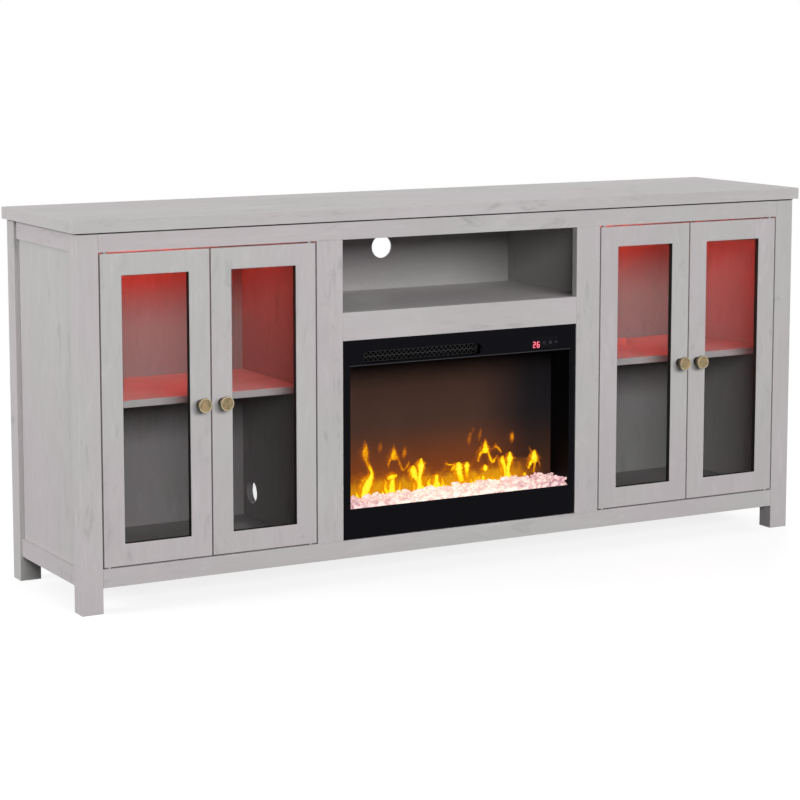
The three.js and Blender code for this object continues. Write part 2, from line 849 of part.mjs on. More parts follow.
// The heater: rows of folded fins between rails, on two end plates that stand on the duct floor
function makeHeater(insert) {
  const left = -outletOffset - heaterLength / 2;
  const right = left + heaterLength;
  const under = ductFloorTop + heaterClearance;
  const rowPitch = heaterRowHeight + heaterRailThickness;
  const over = under + heaterRowCount * rowPitch + heaterRailThickness;
  const back = heaterSetback + heaterDepth;
  const core = boxBetween([left, heaterSetback, under], [right, back, over]);
  const ends = [left, right - heaterEndWidth].map((x) =>
    boxBetween([x, heaterSetback, ductFloorTop], [x + heaterEndWidth, back, over]),
  );
  const gaps = Array.from({ length: heaterRowCount }, (_, i) => {
    const rowUnder = under + heaterRailThickness + i * rowPitch;
    const rowOver = rowUnder + heaterRowHeight;
    return finGaps(left + heaterEndWidth, right - heaterEndWidth, rowUnder, rowOver);
  });
  addMesh(insert, "heater_element", carve([core, ...ends], gaps.flat()), materials.aluminium);
}

// The blower: a drum of blades between discs, on a shaft along x, and its motor
function makeBlower(insert) {
  const pieces = [-blowerLength / 2, 0, blowerLength / 2].map((x) => {
    const inward = x === 0 ? 0 : -Math.sign(x) * (blowerDiscThickness / 2);
    return bar("x", blowerRadius, blowerDiscThickness, smallFacets, [x + inward, 0, 0]);
  });
  const bladeMiddle = blowerRadius - bladeWidth / 2 - bladeThickness;
  for (let i = 0; i < bladeCount; i += 1) {
    const length = blowerLength - blowerDiscThickness;
    const blade = new THREE.BoxGeometry(length, bladeWidth, bladeThickness);
    blade.translate(0, bladeMiddle, 0).rotateX((2 * Math.PI * i) / bladeCount);
    pieces.push(blade);
  }
  const shaftStart = -blowerLength / 2 - motorGap;
  const shaftEnd = blowerLength / 2 + motorGap + shaftLength;
  const shaftMiddle = [(shaftStart + shaftEnd) / 2, 0, 0];
  pieces.push(bar("x", shaftRadius, shaftEnd - shaftStart, smallFacets, shaftMiddle));
  const wheelPlace = [-blowerOffset, blowerSetback, blowerZ];
  addMesh(insert, "blower_wheel", carve(pieces, []), materials.blackPlastic, wheelPlace);

  const motorLeft = blowerRight + motorGap;
  const footTop = blowerZ - ductFloorTop;
  const motor = carve(
    [
      bar("x", blowerMotorRadius, blowerMotorLength, holeFacets, [blowerMotorLength / 2, 0, 0]),
      boxBetween([0, -motorFootHalfWidth, -footTop], [blowerMotorLength, motorFootHalfWidth, 0]),
    ],
    [bar("x", shaftHoleRadius, 2 * (shaftLength + overrun), smallFacets, [0, 0, 0])],
  );
  addMesh(insert, "blower_motor", motor, materials.steel, [motorLeft, blowerSetback, blowerZ]);
}

// The flame spindle: a rod with flaps set round it in a spiral, and its motor
function makeSpindle(insert) {
  const rodStart = -roomHalf + innerPlay;
  const rodEnd = spindleMotorLeft + shaftLength;
  const pieces = [
    bar("x", shaftRadius, rodEnd - rodStart, smallFacets, [(rodStart + rodEnd) / 2, 0, 0]),
  ];
  const firstFlap = (-(flapCount - 1) / 2) * flapPitch - bearingThickness;
  for (let i = 0; i < flapCount; i += 1) {
    const flap = new THREE.BoxGeometry(flapLength, 2 * flapRadius, flapThickness);
    flap.rotateX(i * flapTurn).translate(firstFlap + i * flapPitch, 0, 0);
    pieces.push(flap);
  }
  const place = [0, spindleSetback, spindleZ];
  addMesh(insert, "flame_spindle", carve(pieces, []), materials.aluminium, place);

  const footTop = spindleZ - ledgeTop;
  const motor = carve(
    [
      bar("x", spindleMotorRadius, spindleMotorLength, holeFacets, [spindleMotorLength / 2, 0, 0]),
      boxBetween([0, -motorFootHalfWidth, -footTop], [spindleMotorLength, motorFootHalfWidth, 0]),
    ],
    [bar("x", shaftHoleRadius, 2 * (shaftLength + overrun), smallFacets, [0, 0, 0])],
  );
  const motorPlace = [spindleMotorLeft, spindleSetback, spindleZ];
  addMesh(insert, "spindle_motor", motor, materials.steel, motorPlace);
}

// The mains inlet: a cord gland through the rear wall, with a flange outside and a nut inside
function makeInlet(insert) {
  const outside = caseBack - roomBack;
  const profile = [
    [inletBoreRadius, -inletNutLength],
    [inletNutRadius, -inletNutLength],
    [inletNutRadius, 0],
    [inletSpigotRadius, 0],
    [inletSpigotRadius, outside],
    [inletFlangeRadius, outside],
    [inletFlangeRadius, outside + inletFlangeLength],
    [inletBoreRadius, outside + inletFlangeLength],
    [inletBoreRadius, -inletNutLength],
  ];
  const points = profile.map(([radius, y]) => new THREE.Vector2(radius, y));
  const geometry = new THREE.LatheGeometry(points, holeFacets);
  addMesh(insert, "mains_inlet", geometry, materials.blackPlastic, [inletOffset, roomBack, inletRise]);
}

const cabinet = new THREE.Group();
makeTabletop(cabinet);
for (const side of sides) {
  makeLeg(cabinet, side, "front");
  makeLeg(cabinet, side, "back");
  makeSideFrame(cabinet, side);
  makeDivider(cabinet, side);
}
makeFrontFrame(cabinet);
makeLevelBoards(cabinet);
makeBack(cabinet);
makeLights(cabinet);
for (const { name, sign } of sides) {
  makeDoor(cabinet, `${name}_outer`, sign * outerPivotX, -sign);
  makeDoor(cabinet, `${name}_inner`, sign * innerPivotX, sign);
}

const insert = new THREE.Group();
insert.position.set(0, faceY, bottomRailTopZ);
cabinet.add(insert);
makeInsertFrame(insert);
makeInsertCase(insert);
makeInsertPanes(insert);
makeCrystalBed(insert);
makeHeater(insert);
makeBlower(insert);
makeSpindle(insert);
makeInlet(insert);

export default cabinet;
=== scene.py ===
import math
import random

import bmesh
import bpy
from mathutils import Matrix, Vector


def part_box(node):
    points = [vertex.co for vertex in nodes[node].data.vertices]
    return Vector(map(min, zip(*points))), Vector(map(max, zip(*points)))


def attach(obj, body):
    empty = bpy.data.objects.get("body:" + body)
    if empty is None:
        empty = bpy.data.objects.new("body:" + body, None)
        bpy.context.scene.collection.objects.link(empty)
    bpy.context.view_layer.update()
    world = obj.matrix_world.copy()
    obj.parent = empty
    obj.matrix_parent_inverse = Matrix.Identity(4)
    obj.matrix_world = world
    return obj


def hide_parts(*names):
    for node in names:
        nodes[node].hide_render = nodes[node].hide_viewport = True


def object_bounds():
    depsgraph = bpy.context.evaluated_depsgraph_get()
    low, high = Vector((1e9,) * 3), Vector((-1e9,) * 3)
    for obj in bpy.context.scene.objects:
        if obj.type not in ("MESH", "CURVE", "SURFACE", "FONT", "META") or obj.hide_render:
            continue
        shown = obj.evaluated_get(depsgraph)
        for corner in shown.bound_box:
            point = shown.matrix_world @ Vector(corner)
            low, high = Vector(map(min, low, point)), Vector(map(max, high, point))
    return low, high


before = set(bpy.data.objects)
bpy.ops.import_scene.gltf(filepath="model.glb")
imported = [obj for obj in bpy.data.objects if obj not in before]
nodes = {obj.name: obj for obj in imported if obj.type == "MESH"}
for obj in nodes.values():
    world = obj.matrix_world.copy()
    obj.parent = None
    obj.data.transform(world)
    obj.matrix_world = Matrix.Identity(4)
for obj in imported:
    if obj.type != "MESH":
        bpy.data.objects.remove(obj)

cad_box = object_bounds()
MM = 0.001
SIDES = ("left", "right")
DOORS = ("left_outer", "left_inner", "right_inner", "right_outer")


# Node trees
class Wire:
    """One output socket. An expression on wires adds the Math nodes that work it out."""

    def __init__(self, tree, socket):
        self.tree = tree
        self.socket = socket

    def math(self, operation, *values):
        return self.tree.add("Math", {"operation": operation}, dict(enumerate(values)))

    def __add__(self, other):
        return self.math("ADD", self, other)

    def __sub__(self, other):
        return self.math("SUBTRACT", self, other)

    def __rsub__(self, other):
        return self.math("SUBTRACT", other, self)

    def __mul__(self, other):
        return self.math("MULTIPLY", self, other)

    def __pow__(self, other):
        return self.math("POWER", self, other)

    __radd__ = __add__
    __rmul__ = __mul__

    def rise(self, low, high):
        """Goes smoothly from 0 at low to 1 at high, or down where low is the larger."""
        settings = {"interpolation_type": "SMOOTHSTEP"}
        if low > high:
            return 1 - self.rise(high, low)
        return self.tree.add("MapRange", settings, {"Value": self, "From Min": low, "From Max": high})


class Tree:
    """The nodes of one material, or of the world."""

    def __init__(self, owner):
        owner.use_nodes = True
        self.nodes = owner.node_tree.nodes
        self.links = owner.node_tree.links
        self.nodes.clear()

    def add(self, kind, settings=None, sockets=None, output=0):
        """Adds a node with its settings first, and then the values or links of its sockets."""
        node = self.nodes.new("ShaderNode" + kind)
        for name, value in (settings or {}).items():
            if name == "stops":
                self.set_stops(node.color_ramp, value)
            else:
                setattr(node, name, value)
        for name, value in (sockets or {}).items():
            if isinstance(value, Wire):
                self.links.new(value.socket, node.inputs[name])
            else:
                node.inputs[name].default_value = value
        return Wire(self, node.outputs[output]) if node.outputs else None

    @staticmethod
    def set_stops(ramp, stops):
        """Gives a colour ramp its stops, as places and colours."""
        while len(ramp.elements) < len(stops):
            ramp.elements.new(1.0)
        for element, (place, colour) in zip(ramp.elements, stops):
            element.position = place
            element.color = colour

    def mix(self, factor, one, other, blend="MIX"):
        """Mixes two colours."""
        node = self.nodes.new("ShaderNodeMix")
        node.data_type = "RGBA"
        node.blend_type = blend
        inputs = {0: factor, 6: one, 7: other}
        for place, value in inputs.items():
            if isinstance(value, Wire):
                self.links.new(value.socket, node.inputs[place])
            else:
                node.inputs[place].default_value = value
        return Wire(self, node.outputs[2])

    def scale(self, shade, tone):
        """Multiplies a colour or a place by a value."""
        return self.add("VectorMath", {"operation": "SCALE"}, {0: shade, 3: tone})


def colour(red, green, blue):
    """A linear colour from the values that a screen shows."""
    def linear(value):
        share = value / 255
        return share / 12.92 if share <= 0.04045 else ((share + 0.055) / 1.055) ** 2.4
    return (linear(red), linear(green), linear(blue), 1.0)


def new_material(name):
    material = bpy.data.materials.new(name)
    return material, Tree(material)


def finish_with(tree, surface):
    tree.add("OutputMaterial", sockets={"Surface": surface})


def spot_on(tree):
    """The place on the piece, in the part's own frame."""
    return tree.add("TexCoord", output=3)


def coordinate(tree, axis):
    """One coordinate of the place on the piece: 0 is x, 1 is y and 2 is z."""
    return tree.add("SeparateXYZ", sockets={0: spot_on(tree)}, output=axis)


OWN_STEP = (3.7, 5.1, 7.3)


def place_of(tree, stretch=(1, 1, 1), varied=True):
    """The place on the piece, moved by the piece's own share so that no two boards match."""
    place = spot_on(tree)
    if varied:
        own = tree.add("ObjectInfo", output=5)
        place = tree.add("VectorMath", {"operation": "ADD"}, {0: place, 1: tree.scale(OWN_STEP, own)})
    return tree.add("VectorMath", {"operation": "MULTIPLY"}, {0: place, 1: stretch})


def noise(tree, place, scale, detail=2.0, roughness=0.5, distortion=0.0):
    return tree.add("TexNoise", sockets={
        "Vector": place,
        "Scale": scale,
        "Detail": detail,
        "Roughness": roughness,
        "Distortion": distortion,
    })


def along_axis(axis, share):
    """The stretch that draws a pattern out along one axis."""
    return tuple(share if name == axis else 1 for name in "XYZ")


# Finishes
COOL_SHARES = (0.985, 1.015, 0.995, 1)
WARM_SHARES = (1.015, 0.985, 1.005, 1)


def laminate(name, axis, base, shine):
    """Pale grey wood-grain laminate, with the grain along one axis."""
    material, tree = new_material(name)
    fibres = noise(tree, place_of(tree, along_axis(axis, 0.05)), 520, 3, 0.65)
    streaks = noise(tree, place_of(tree, along_axis(axis, 0.1)), 70, 4, 0.55, 0.5)
    clouds = noise(tree, place_of(tree, along_axis(axis, 0.35)), 8, 2)
    feathers = noise(tree, place_of(tree, along_axis(axis, 0.28)), 42, 4, 0.6, 1.2)
    patches = noise(tree, place_of(tree, along_axis(axis, 0.5)), 6, 1)
    dark_marks = feathers.rise(0.54, 0.74) * patches.rise(0.4, 0.6)
    pale_marks = feathers.rise(0.46, 0.28)
    own = tree.add("ObjectInfo", output=5)
    tone = 0.97 + (fibres - 0.5) * 0.05 + (streaks - 0.5) * 0.1 + (clouds - 0.5) * 0.12
    tone = tone - dark_marks * 0.17 + pale_marks * 0.07 + own * 0.03
    cast = noise(tree, place_of(tree, along_axis(axis, 0.5)), 4, 1).rise(0.35, 0.65)
    cool = tuple(share * value for share, value in zip(COOL_SHARES, base))
    warm = tuple(share * value for share, value in zip(WARM_SHARES, base))
    height = fibres * 0.6 + streaks * 0.4
    bump = tree.add("Bump", sockets={"Strength": 0.25, "Distance": 0.15 * MM, "Height": height})
    surface = tree.add("BsdfPrincipled", sockets={
        "Base Color": tree.scale(tree.mix(cast, cool, warm), tone),
        "Roughness": 0.55 + (fibres - 0.5) * 0.2 + dark_marks * 0.08,
        "Specular IOR Level": shine,
        "Normal": bump,
    })
    finish_with(tree, surface)
    return material


def pane(name, tint, mirror):
    """Clear glass: lamps shine through it, and it mirrors where it is seen at a slant."""
    material, tree = new_material(name)
    slant = tree.add("LayerWeight", sockets={"Blend": 0.5}, output=1).rise(0.3, 1.0) ** 3
    smears = noise(tree, place_of(tree), 14, 3)
    gloss = tree.add("BsdfPrincipled", sockets={
        "Base Color": (0.95, 0.97, 0.97, 1),
        "Metallic": 1.0,
        "Roughness": 0.02 + smears * 0.04,
    })
    clear = tree.add("BsdfTransparent", sockets={"Color": tint})
    finish_with(tree, tree.add("MixShader", sockets={0: slant * mirror, 1: clear, 2: gloss}))
    return material


def brushed_metal(name, base, rough, axis="X"):
    """Bare metal with fine lines along one axis and a little staining."""
    material, tree = new_material(name)
    lines = noise(tree, place_of(tree, along_axis(axis, 0.03)), 900, 3, 0.7)
    stains = noise(tree, place_of(tree), 60, 4)
    tone = 0.9 + (lines - 0.5) * 0.25 + (stains - 0.5) * 0.2
    bump = tree.add("Bump", sockets={"Strength": 0.2, "Distance": 0.05 * MM, "Height": lines})
    surface = tree.add("BsdfPrincipled", sockets={
        "Base Color": tree.scale(base, tone),
        "Metallic": 1.0,
        "Roughness": rough + (lines - 0.5) * 0.2 + (stains - 0.5) * 0.1,
        "Normal": bump,
    })
    finish_with(tree, surface)
    return material


KNOB_RIM_HIGHLIGHT_SHARES = (0.07, 0.02)
KNOB_NECK_SHADE_SHARES = (0.16, 0.3)


def antique_brass():
    """Brass with an olive patina, finely brushed, with a painted highlight on the rim and painted shade,
    nearly black, on the neck.
    """
    material, tree = new_material("antique_brass")
    patina = noise(tree, place_of(tree), 90, 3, 0.5, 0.3)
    brushing = noise(tree, place_of(tree, (1, 1, 0.06)), 1500, 2)
    depth = coordinate(tree, 1)
    low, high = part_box("door_left_outer_knob")
    # Masks by depth: the front rim gets a painted highlight, and everything behind the disc's front gets
    # painted shade.
    rim = depth.rise(*(low.y + share * (high.y - low.y) for share in KNOB_RIM_HIGHLIGHT_SHARES))
    neck_shade = depth.rise(*(low.y + share * (high.y - low.y) for share in KNOB_NECK_SHADE_SHARES))
    base = tree.mix(patina.rise(0.35, 0.65), colour(130, 118, 86), colour(168, 144, 108))
    # Painted highlight on the rim, then painted shade on the neck.
    base = tree.mix(rim * (0.25 + patina * 0.5), base, colour(222, 210, 180))
    base = tree.mix(neck_shade * 0.95, base, colour(34, 29, 21))
    surface = tree.add("BsdfPrincipled", sockets={
        "Base Color": base,
        "Metallic": 0.45,
        "Roughness": 0.4 + (brushing - 0.5) * 0.12 + (patina - 0.5) * 0.1,
    })
    finish_with(tree, surface)
    return material


def black_coat(name, base, rough, shine, grit):
    """Black paint or plastic. The grit is how coarse its texture is."""
    material, tree = new_material(name)
    grain = noise(tree, place_of(tree), 1400, 2, 0.6)
    dust = noise(tree, place_of(tree), 22, 4)
    tone = 0.8 + grain * 0.3 + dust * 0.25
    bump = tree.add("Bump", sockets={"Strength": grit, "Distance": 0.1 * MM, "Height": grain})
    surface = tree.add("BsdfPrincipled", sockets={
        "Base Color": tree.scale(base, tone),
        "Roughness": rough + (grain - 0.5) * 0.15 + (dust - 0.5) * 0.1,
        "Specular IOR Level": shine,
        "Normal": bump,
    })
    finish_with(tree, surface)
    return material


# Where the screen's glow changes, from one place to the other: across from its middle, up from its foot and
# down from its top, where a painted shadow of the frame above fades it to dark. A low glow is as high as a
# least height and what its billows add.
GREY_ACROSS = (70 * MM, 235 * MM)
WARM_UP = (175 * MM, 15 * MM)
SHADE_DOWN = (10 * MM, 80 * MM)
FADE_DOWN = (40 * MM, 150 * MM)
EMBER_HEIGHTS = (16 * MM, 52 * MM)
EMBER_EDGE = (-26 * MM, 20 * MM)
EMBER_ACROSS = (268 * MM, 190 * MM)
FOOT_HEIGHTS = (22 * MM, 32 * MM)
FOOT_EDGE = (-14 * MM, 14 * MM)
FOOT_ACROSS = (235 * MM, 140 * MM)


def screen_finish():
    """The flame picture's screen: lit from behind, brown on the left, grey on the right, amber low down,
    with a painted shadow darkening it under its top.
    """
    material, tree = new_material("flame_screen")
    low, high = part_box("flame_screen")
    across = coordinate(tree, 0)
    up = coordinate(tree, 2) - low.z
    drop = (high.z - low.z) - up
    clouds = noise(tree, spot_on(tree), 12, 3)
    billows = noise(tree, spot_on(tree), 38, 3, 0.55, 0.8)

    def low_glow(heights, edge, ends):
        return (heights[0] + billows * heights[1] - up).rise(*edge) * across.rise(*ends)

    right = across.rise(*GREY_ACROSS)
    veil = tree.mix(right, colour(79, 55, 45), colour(29, 27, 30))
    warm = tree.mix(right, colour(150, 72, 22), colour(72, 44, 30))
    glow = tree.mix(up.rise(*WARM_UP), veil, warm)
    ember = low_glow(EMBER_HEIGHTS, EMBER_EDGE, EMBER_ACROSS)
    glow = tree.mix(ember * (0.35 + billows * 0.8), glow, colour(216, 118, 10))
    foot = low_glow(FOOT_HEIGHTS, FOOT_EDGE, FOOT_ACROSS)
    glow = tree.mix(foot * (0.5 + billows * 0.9), glow, colour(255, 172, 12))
    # Painted shadow of the window's upper frame: the glow fades to dark towards the screen's top.
    top_shadow_fade = drop.rise(*SHADE_DOWN) * 0.75 + drop.rise(*FADE_DOWN) * 0.25
    surface = tree.add("BsdfPrincipled", sockets={
        "Base Color": (0.006, 0.005, 0.005, 1),
        "Roughness": 0.5 + (clouds - 0.5) * 0.2,
        "Specular IOR Level": 0.02,
        "Emission Color": tree.scale(glow, top_shadow_fade * (0.92 + (clouds - 0.5) * 0.3)),
        "Emission Strength": 1.0,
    })
    finish_with(tree, surface)
    return material


def flame_finish():
    """Flames by their heat: thin and brown at the rims, orange, then yellow in the core."""
    material, tree = new_material("flames")
    heat = tree.add("Attribute", {"attribute_name": "warmth"}, output=2)
    flicker = noise(tree, place_of(tree, (1, 1, 0.45), False), 210, 4, 0.6, 0.4)
    hot = heat * (1 + (flicker - 0.5) * 1.5)
    fire = tree.add("ValToRGB", {"stops": (
        (0.0, (0.32, 0.07, 0.004, 1)),
        (0.28, (0.8, 0.2, 0.004, 1)),
        (0.48, (1.0, 0.46, 0.004, 1)),
        (0.7, (1.0, 0.8, 0.008, 1)),
        (1.0, (1.0, 0.92, 0.05, 1)),
    )}, {0: hot})
    surface = tree.add("BsdfPrincipled", sockets={
        "Base Color": (0, 0, 0, 1),
        "Specular IOR Level": 0.0,
        "Roughness": 1.0,
        "Emission Color": fire,
        "Emission Strength": 1.3,
        "Alpha": hot.rise(0.06, 0.58),
    })
    finish_with(tree, surface)
    material.cycles.emission_sampling = "NONE"
    return material


def crystal_finish():
    """Broken glass whose glow is painted light standing in for the lamps below it: cream in the middle of
    the bed, pink towards its ends.
    """
    material, tree = new_material("crystals")
    spark = tree.add("Attribute", {"attribute_name": "spark"}, output=2)
    pink = tree.add("Attribute", {"attribute_name": "pink"}, output=2)
    clouds = noise(tree, spot_on(tree), 75, 2)
    lit_tint = tree.mix(pink, colour(255, 240, 222), colour(246, 190, 200))
    shaded_tint = tree.mix(pink, colour(206, 150, 146), colour(96, 46, 64))
    # Painted light and shade: each facet's painted light, broken up by clouds, mixes the shaded tint into
    # the lit tint.
    light = tree.mix((0.35 + spark * 0.65) * (0.4 + clouds.rise(0.36, 0.58) * 0.7), shaded_tint, lit_tint)
    surface = tree.add("BsdfPrincipled", sockets={
        "Base Color": tree.mix(0.5, light, (0.4, 0.36, 0.38, 1)),
        "Roughness": 0.06 + clouds * 0.08,
        "Specular IOR Level": 0.4,
        "Emission Color": light,
        "Emission Strength": 1.0,
    })
    finish_with(tree, surface)
    material.cycles.emission_sampling = "NONE"
    return material


LIGHT_PITCH = 12 * MM


def lamp_cover():
    """The light strips' frosted cover, lit red: brighter over each light and in a strip's middle."""
    material, tree = new_material("red_light")
    across = coordinate(tree, 0)
    turn = across * (2 * math.pi / LIGHT_PITCH)
    wave = turn.math("SINE", turn)
    low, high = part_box("led_strip_right")
    middle, half = (low.x + high.x) / 2, (high.x - low.x) / 2
    away = (across.math("ABSOLUTE", across) - middle) * (1 / half)
    spots = (wave * 0.2 + 1.3) * (1.25 - away ** 2)
    surface = tree.add("BsdfPrincipled", sockets={
        "Base Color": (0.8, 0.2, 0.15, 1),
        "Roughness": 0.5,
        "Emission Color": tree.scale((1.0, 0.055, 0.032), spots),
        "Emission Strength": 40.0,
    })
    finish_with(tree, surface)
    return material


def lit_figure(name, shade, strength):
    """A lit figure or mark, which fades out where its warmth is low."""
    material, tree = new_material(name)
    mottle = noise(tree, spot_on(tree), 900, 2)
    surface = tree.add("BsdfPrincipled", sockets={
        "Base Color": (0.01, 0.005, 0.005, 1),
        "Specular IOR Level": 0.0,
        "Roughness": 0.6,
        "Emission Color": tree.scale(shade[:3], 0.9 + mottle * 0.2),
        "Emission Strength": strength,
        "Alpha": tree.add("Attribute", {"attribute_name": "warmth"}, output=2),
    })
    finish_with(tree, surface)
    material.cycles.emission_sampling = "NONE"
    return material


LAMINATE_BASE = (0.54, 0.518, 0.517, 1)
# The inner and back boards take a darker copy of the laminate: their own grey, darkened further as painted
# shade for the insides of the cabinets.
BOARD_AND_SHADE_BASE = (0.37, 0.355, 0.354, 1)
laminates = {axis: laminate("laminate_" + axis.lower(), axis, LAMINATE_BASE, 0.15) for axis in "XYZ"}
boards = {axis: laminate("board_" + axis.lower(), axis, BOARD_AND_SHADE_BASE, 0.03) for axis in "XZ"}
door_glass = pane("door_glass", (0.9, 0.905, 0.905, 1), 0.4)
smoked_glass = pane("insert_glass", (0.9, 0.9, 0.9, 1), 0.4)
brass = antique_brass()
steel = brushed_metal("steel", (0.48, 0.48, 0.49), 0.32, "Z")
aluminium = brushed_metal("aluminium", (0.62, 0.62, 0.63), 0.38)
fin_metal = brushed_metal("fin_metal", (0.05, 0.05, 0.053), 0.5, "Y")
trim_metal = brushed_metal("trim_metal", (0.06, 0.06, 0.065), 0.4)
black_metal = black_coat("black_metal", (0.0042, 0.0042, 0.0058), 0.4, 0.035, 0.12)
case_metal = black_coat("case_metal", (0.004, 0.004, 0.005), 0.55, 0.08, 0.4)
black_plastic = black_coat("black_plastic", (0.0055, 0.0055, 0.0075), 0.3, 0.04, 0.05)
# Black for the door seals, and for the strip that is painted shade under the tabletop.
seal_and_shade_black = black_coat("seal_and_shade_black", (0.03, 0.029, 0.027), 0.7, 0.05, 0.3)
screen = screen_finish()
flame = flame_finish()
crystal = crystal_finish()
red_light = lamp_cover()
digit_red = lit_figure("digit_red", colour(255, 130, 150), 1.2)
digit_halo = lit_figure("digit_halo", colour(190, 10, 40), 0.9)
icon_grey = lit_figure("icon_grey", colour(72, 72, 78), 0.9)


# The carried-over nodes
SHARP_ANGLE = math.radians(35)
WELD_REACH = 0.01 * MM


def dress(name, material, edge=0.0):
    """Gives a node its material and, where an edge is named, softens its edges by it."""
    piece = nodes[name]
    piece.data.materials.clear()
    piece.data.materials.append(material)
    if edge:
        weld = piece.modifiers.new("weld", "WELD")
        weld.merge_threshold = WELD_REACH
        bevel = piece.modifiers.new("edge", "BEVEL")
        bevel.width = edge
        bevel.segments = 2
        bevel.limit_method = "ANGLE"
        bevel.angle_limit = SHARP_ANGLE


BOARD_EDGE = 0.8 * MM
FRAME_EDGE = 0.5 * MM
PANEL_EDGE = 0.4 * MM
for name in ("tabletop", "front_top_rail", "front_bottom_rail", "centre_rail"):
    dress(name, laminates["X"], BOARD_EDGE)
for side in SIDES:
    for end in ("front", "back"):
        dress(f"leg_{end}_{side}", laminates["Z"], BOARD_EDGE)
    dress(f"centre_stile_{side}", laminates["Z"], BOARD_EDGE)
    dress(f"side_panel_{side}", laminates["Z"])
    for level in ("top", "bottom"):
        dress(f"side_{level}_rail_{side}", laminates["Y"], BOARD_EDGE)
    dress(f"divider_{side}", boards["Z"], BOARD_EDGE)
    dress(f"cabinet_shelf_{side}", laminates["X"], BOARD_EDGE)
    dress(f"back_panel_{side}", boards["Z"])
    dress(f"led_strip_{side}", red_light)
dress("niche_shelf", laminates["X"], BOARD_EDGE)
for name in ("back_bottom_rail", "bottom_panel"):
    dress(name, boards["X"], BOARD_EDGE)
dress("back_panel_niche", boards["X"])
for door in DOORS:
    dress(f"door_{door}_frame", laminates["Z"], BOARD_EDGE)
    dress(f"door_{door}_glass", door_glass)
    for end in ("top", "bottom"):
        dress(f"door_{door}_pin_{end}", steel)
dress("insert_case", case_metal)
dress("insert_front_frame", black_metal, FRAME_EDGE)
dress("insert_glass", smoked_glass)
dress("control_panel", black_plastic, PANEL_EDGE)
dress("flame_screen", screen)
dress("crystal_bed", crystal)
dress("heater_element", fin_metal)
dress("blower_wheel", black_plastic)
dress("blower_motor", steel)
dress("flame_spindle", aluminium)
dress("spindle_motor", steel)
dress("mains_inlet", black_plastic)


# Mesh helpers
def piece_from(name, bm, material, body, smooth=False):
    """Makes a piece from a bmesh, with a material, riding on a body."""
    mesh = bpy.data.meshes.new(name)
    bm.to_mesh(mesh)
    bm.free()
    for face in mesh.polygons:
        face.use_smooth = smooth
    mesh.set_sharp_from_angle(angle=SHARP_ANGLE)
    mesh.materials.append(material)
    piece = bpy.data.objects.new(name, mesh)
    bpy.context.scene.collection.objects.link(piece)
    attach(piece, body)
    return piece


def bridge(bm, one, other):
    """Joins two rings of corners with faces. Either ring may be a single corner."""
    count = max(len(one), len(other))
    faces = []
    for i in range(count):
        j = (i + 1) % count
        corners = [one[i % len(one)], one[j % len(one)], other[j % len(other)], other[i % len(other)]]
        faces.append(bm.faces.new(list(dict.fromkeys(corners))))
    return faces


def lathe(bm, profile, middle, segments):
    """Turns a profile of radius and depth about the Y axis, from the front centre to the back centre."""
    rings = []
    for radius, depth in profile:
        turns = [2 * math.pi * i / segments for i in range(segments if radius else 1)]
        spots = [Vector((radius * math.cos(turn), depth, radius * math.sin(turn))) for turn in turns]
        rings.append([bm.verts.new(middle + spot) for spot in spots])
    for front, back in zip(rings, rings[1:]):
        bridge(bm, front, back)


# Knobs: a rimmed disc on a neck and a small rose
KNOB_PROFILE_SHARES = (
    (0.0, 0.9), (0.68, 0.9), (0.78, 0.93), (0.84, 0.99), (0.9, 1.0), (0.96, 0.985), (1.0, 0.94),
    (1.0, 0.82), (0.98, 0.74), (0.93, 0.62), (0.84, 0.5), (0.7, 0.4), (0.57, 0.32), (0.5, 0.2),
    (0.52, 0.12), (0.58, 0.085), (0.6, 0.07), (0.61, 0.0), (0.0, 0.0),
)
KNOB_SEGMENTS = 64


def make_knob(door):
    node = f"door_{door}_knob"
    low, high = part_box(node)
    radius = (high.x - low.x) / 2
    reach = high.y - low.y
    middle = Vector(((low.x + high.x) / 2, high.y, (low.z + high.z) / 2))
    profile = [(r * radius, -d * reach) for r, d in KNOB_PROFILE_SHARES]
    bm = bmesh.new()
    lathe(bm, profile, middle, KNOB_SEGMENTS)
    bmesh.ops.recalc_face_normals(bm, faces=bm.faces[:])
    knob = piece_from(f"knob_{door}", bm, brass, f"door_{door}", smooth=True)
    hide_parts(node)


for door in DOORS:
    make_knob(door)


# The dark seal that lines the opening of each door's frame, in front of its pane
SEAL_SETBACK = 1.0 * MM
SEAL_THICKNESS = 0.4 * MM
SEAL_MARGIN = 0.1 * MM
PANE_OVERLAP = 7.5 * MM


def make_seal(door):
    pane_low, pane_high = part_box(f"door_{door}_glass")
    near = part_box(f"door_{door}_frame")[0].y + SEAL_SETBACK
    far = pane_low.y - SEAL_MARGIN
    bm = bmesh.new()
    loops = []
    for inset, y in ((SEAL_MARGIN, near), (SEAL_THICKNESS, near), (SEAL_THICKNESS, far), (SEAL_MARGIN, far)):
        away = PANE_OVERLAP + inset
        left, right = pane_low.x + away, pane_high.x - away
        under, over = pane_low.z + away, pane_high.z - away
        corners = ((left, under), (right, under), (right, over), (left, over))
        loops.append([bm.verts.new((x, y, z)) for x, z in corners])
    for one, other in zip(loops, loops[1:] + loops[:1]):
        bridge(bm, one, other)
    bmesh.ops.recalc_face_normals(bm, faces=bm.faces[:])
    piece_from(f"seal_{door}", bm, seal_and_shade_black, f"door_{door}")


for door in DOORS:
    make_seal(door)


# A black strip painted in as the shade of the recess between the tabletop and the body, along the front and
# both ends
SHADE_STRIP_HEIGHT = 2.6 * MM
SHADE_STRIP_PROUD = 0.25 * MM
SHADE_STRIP_MARGIN = 0.1 * MM


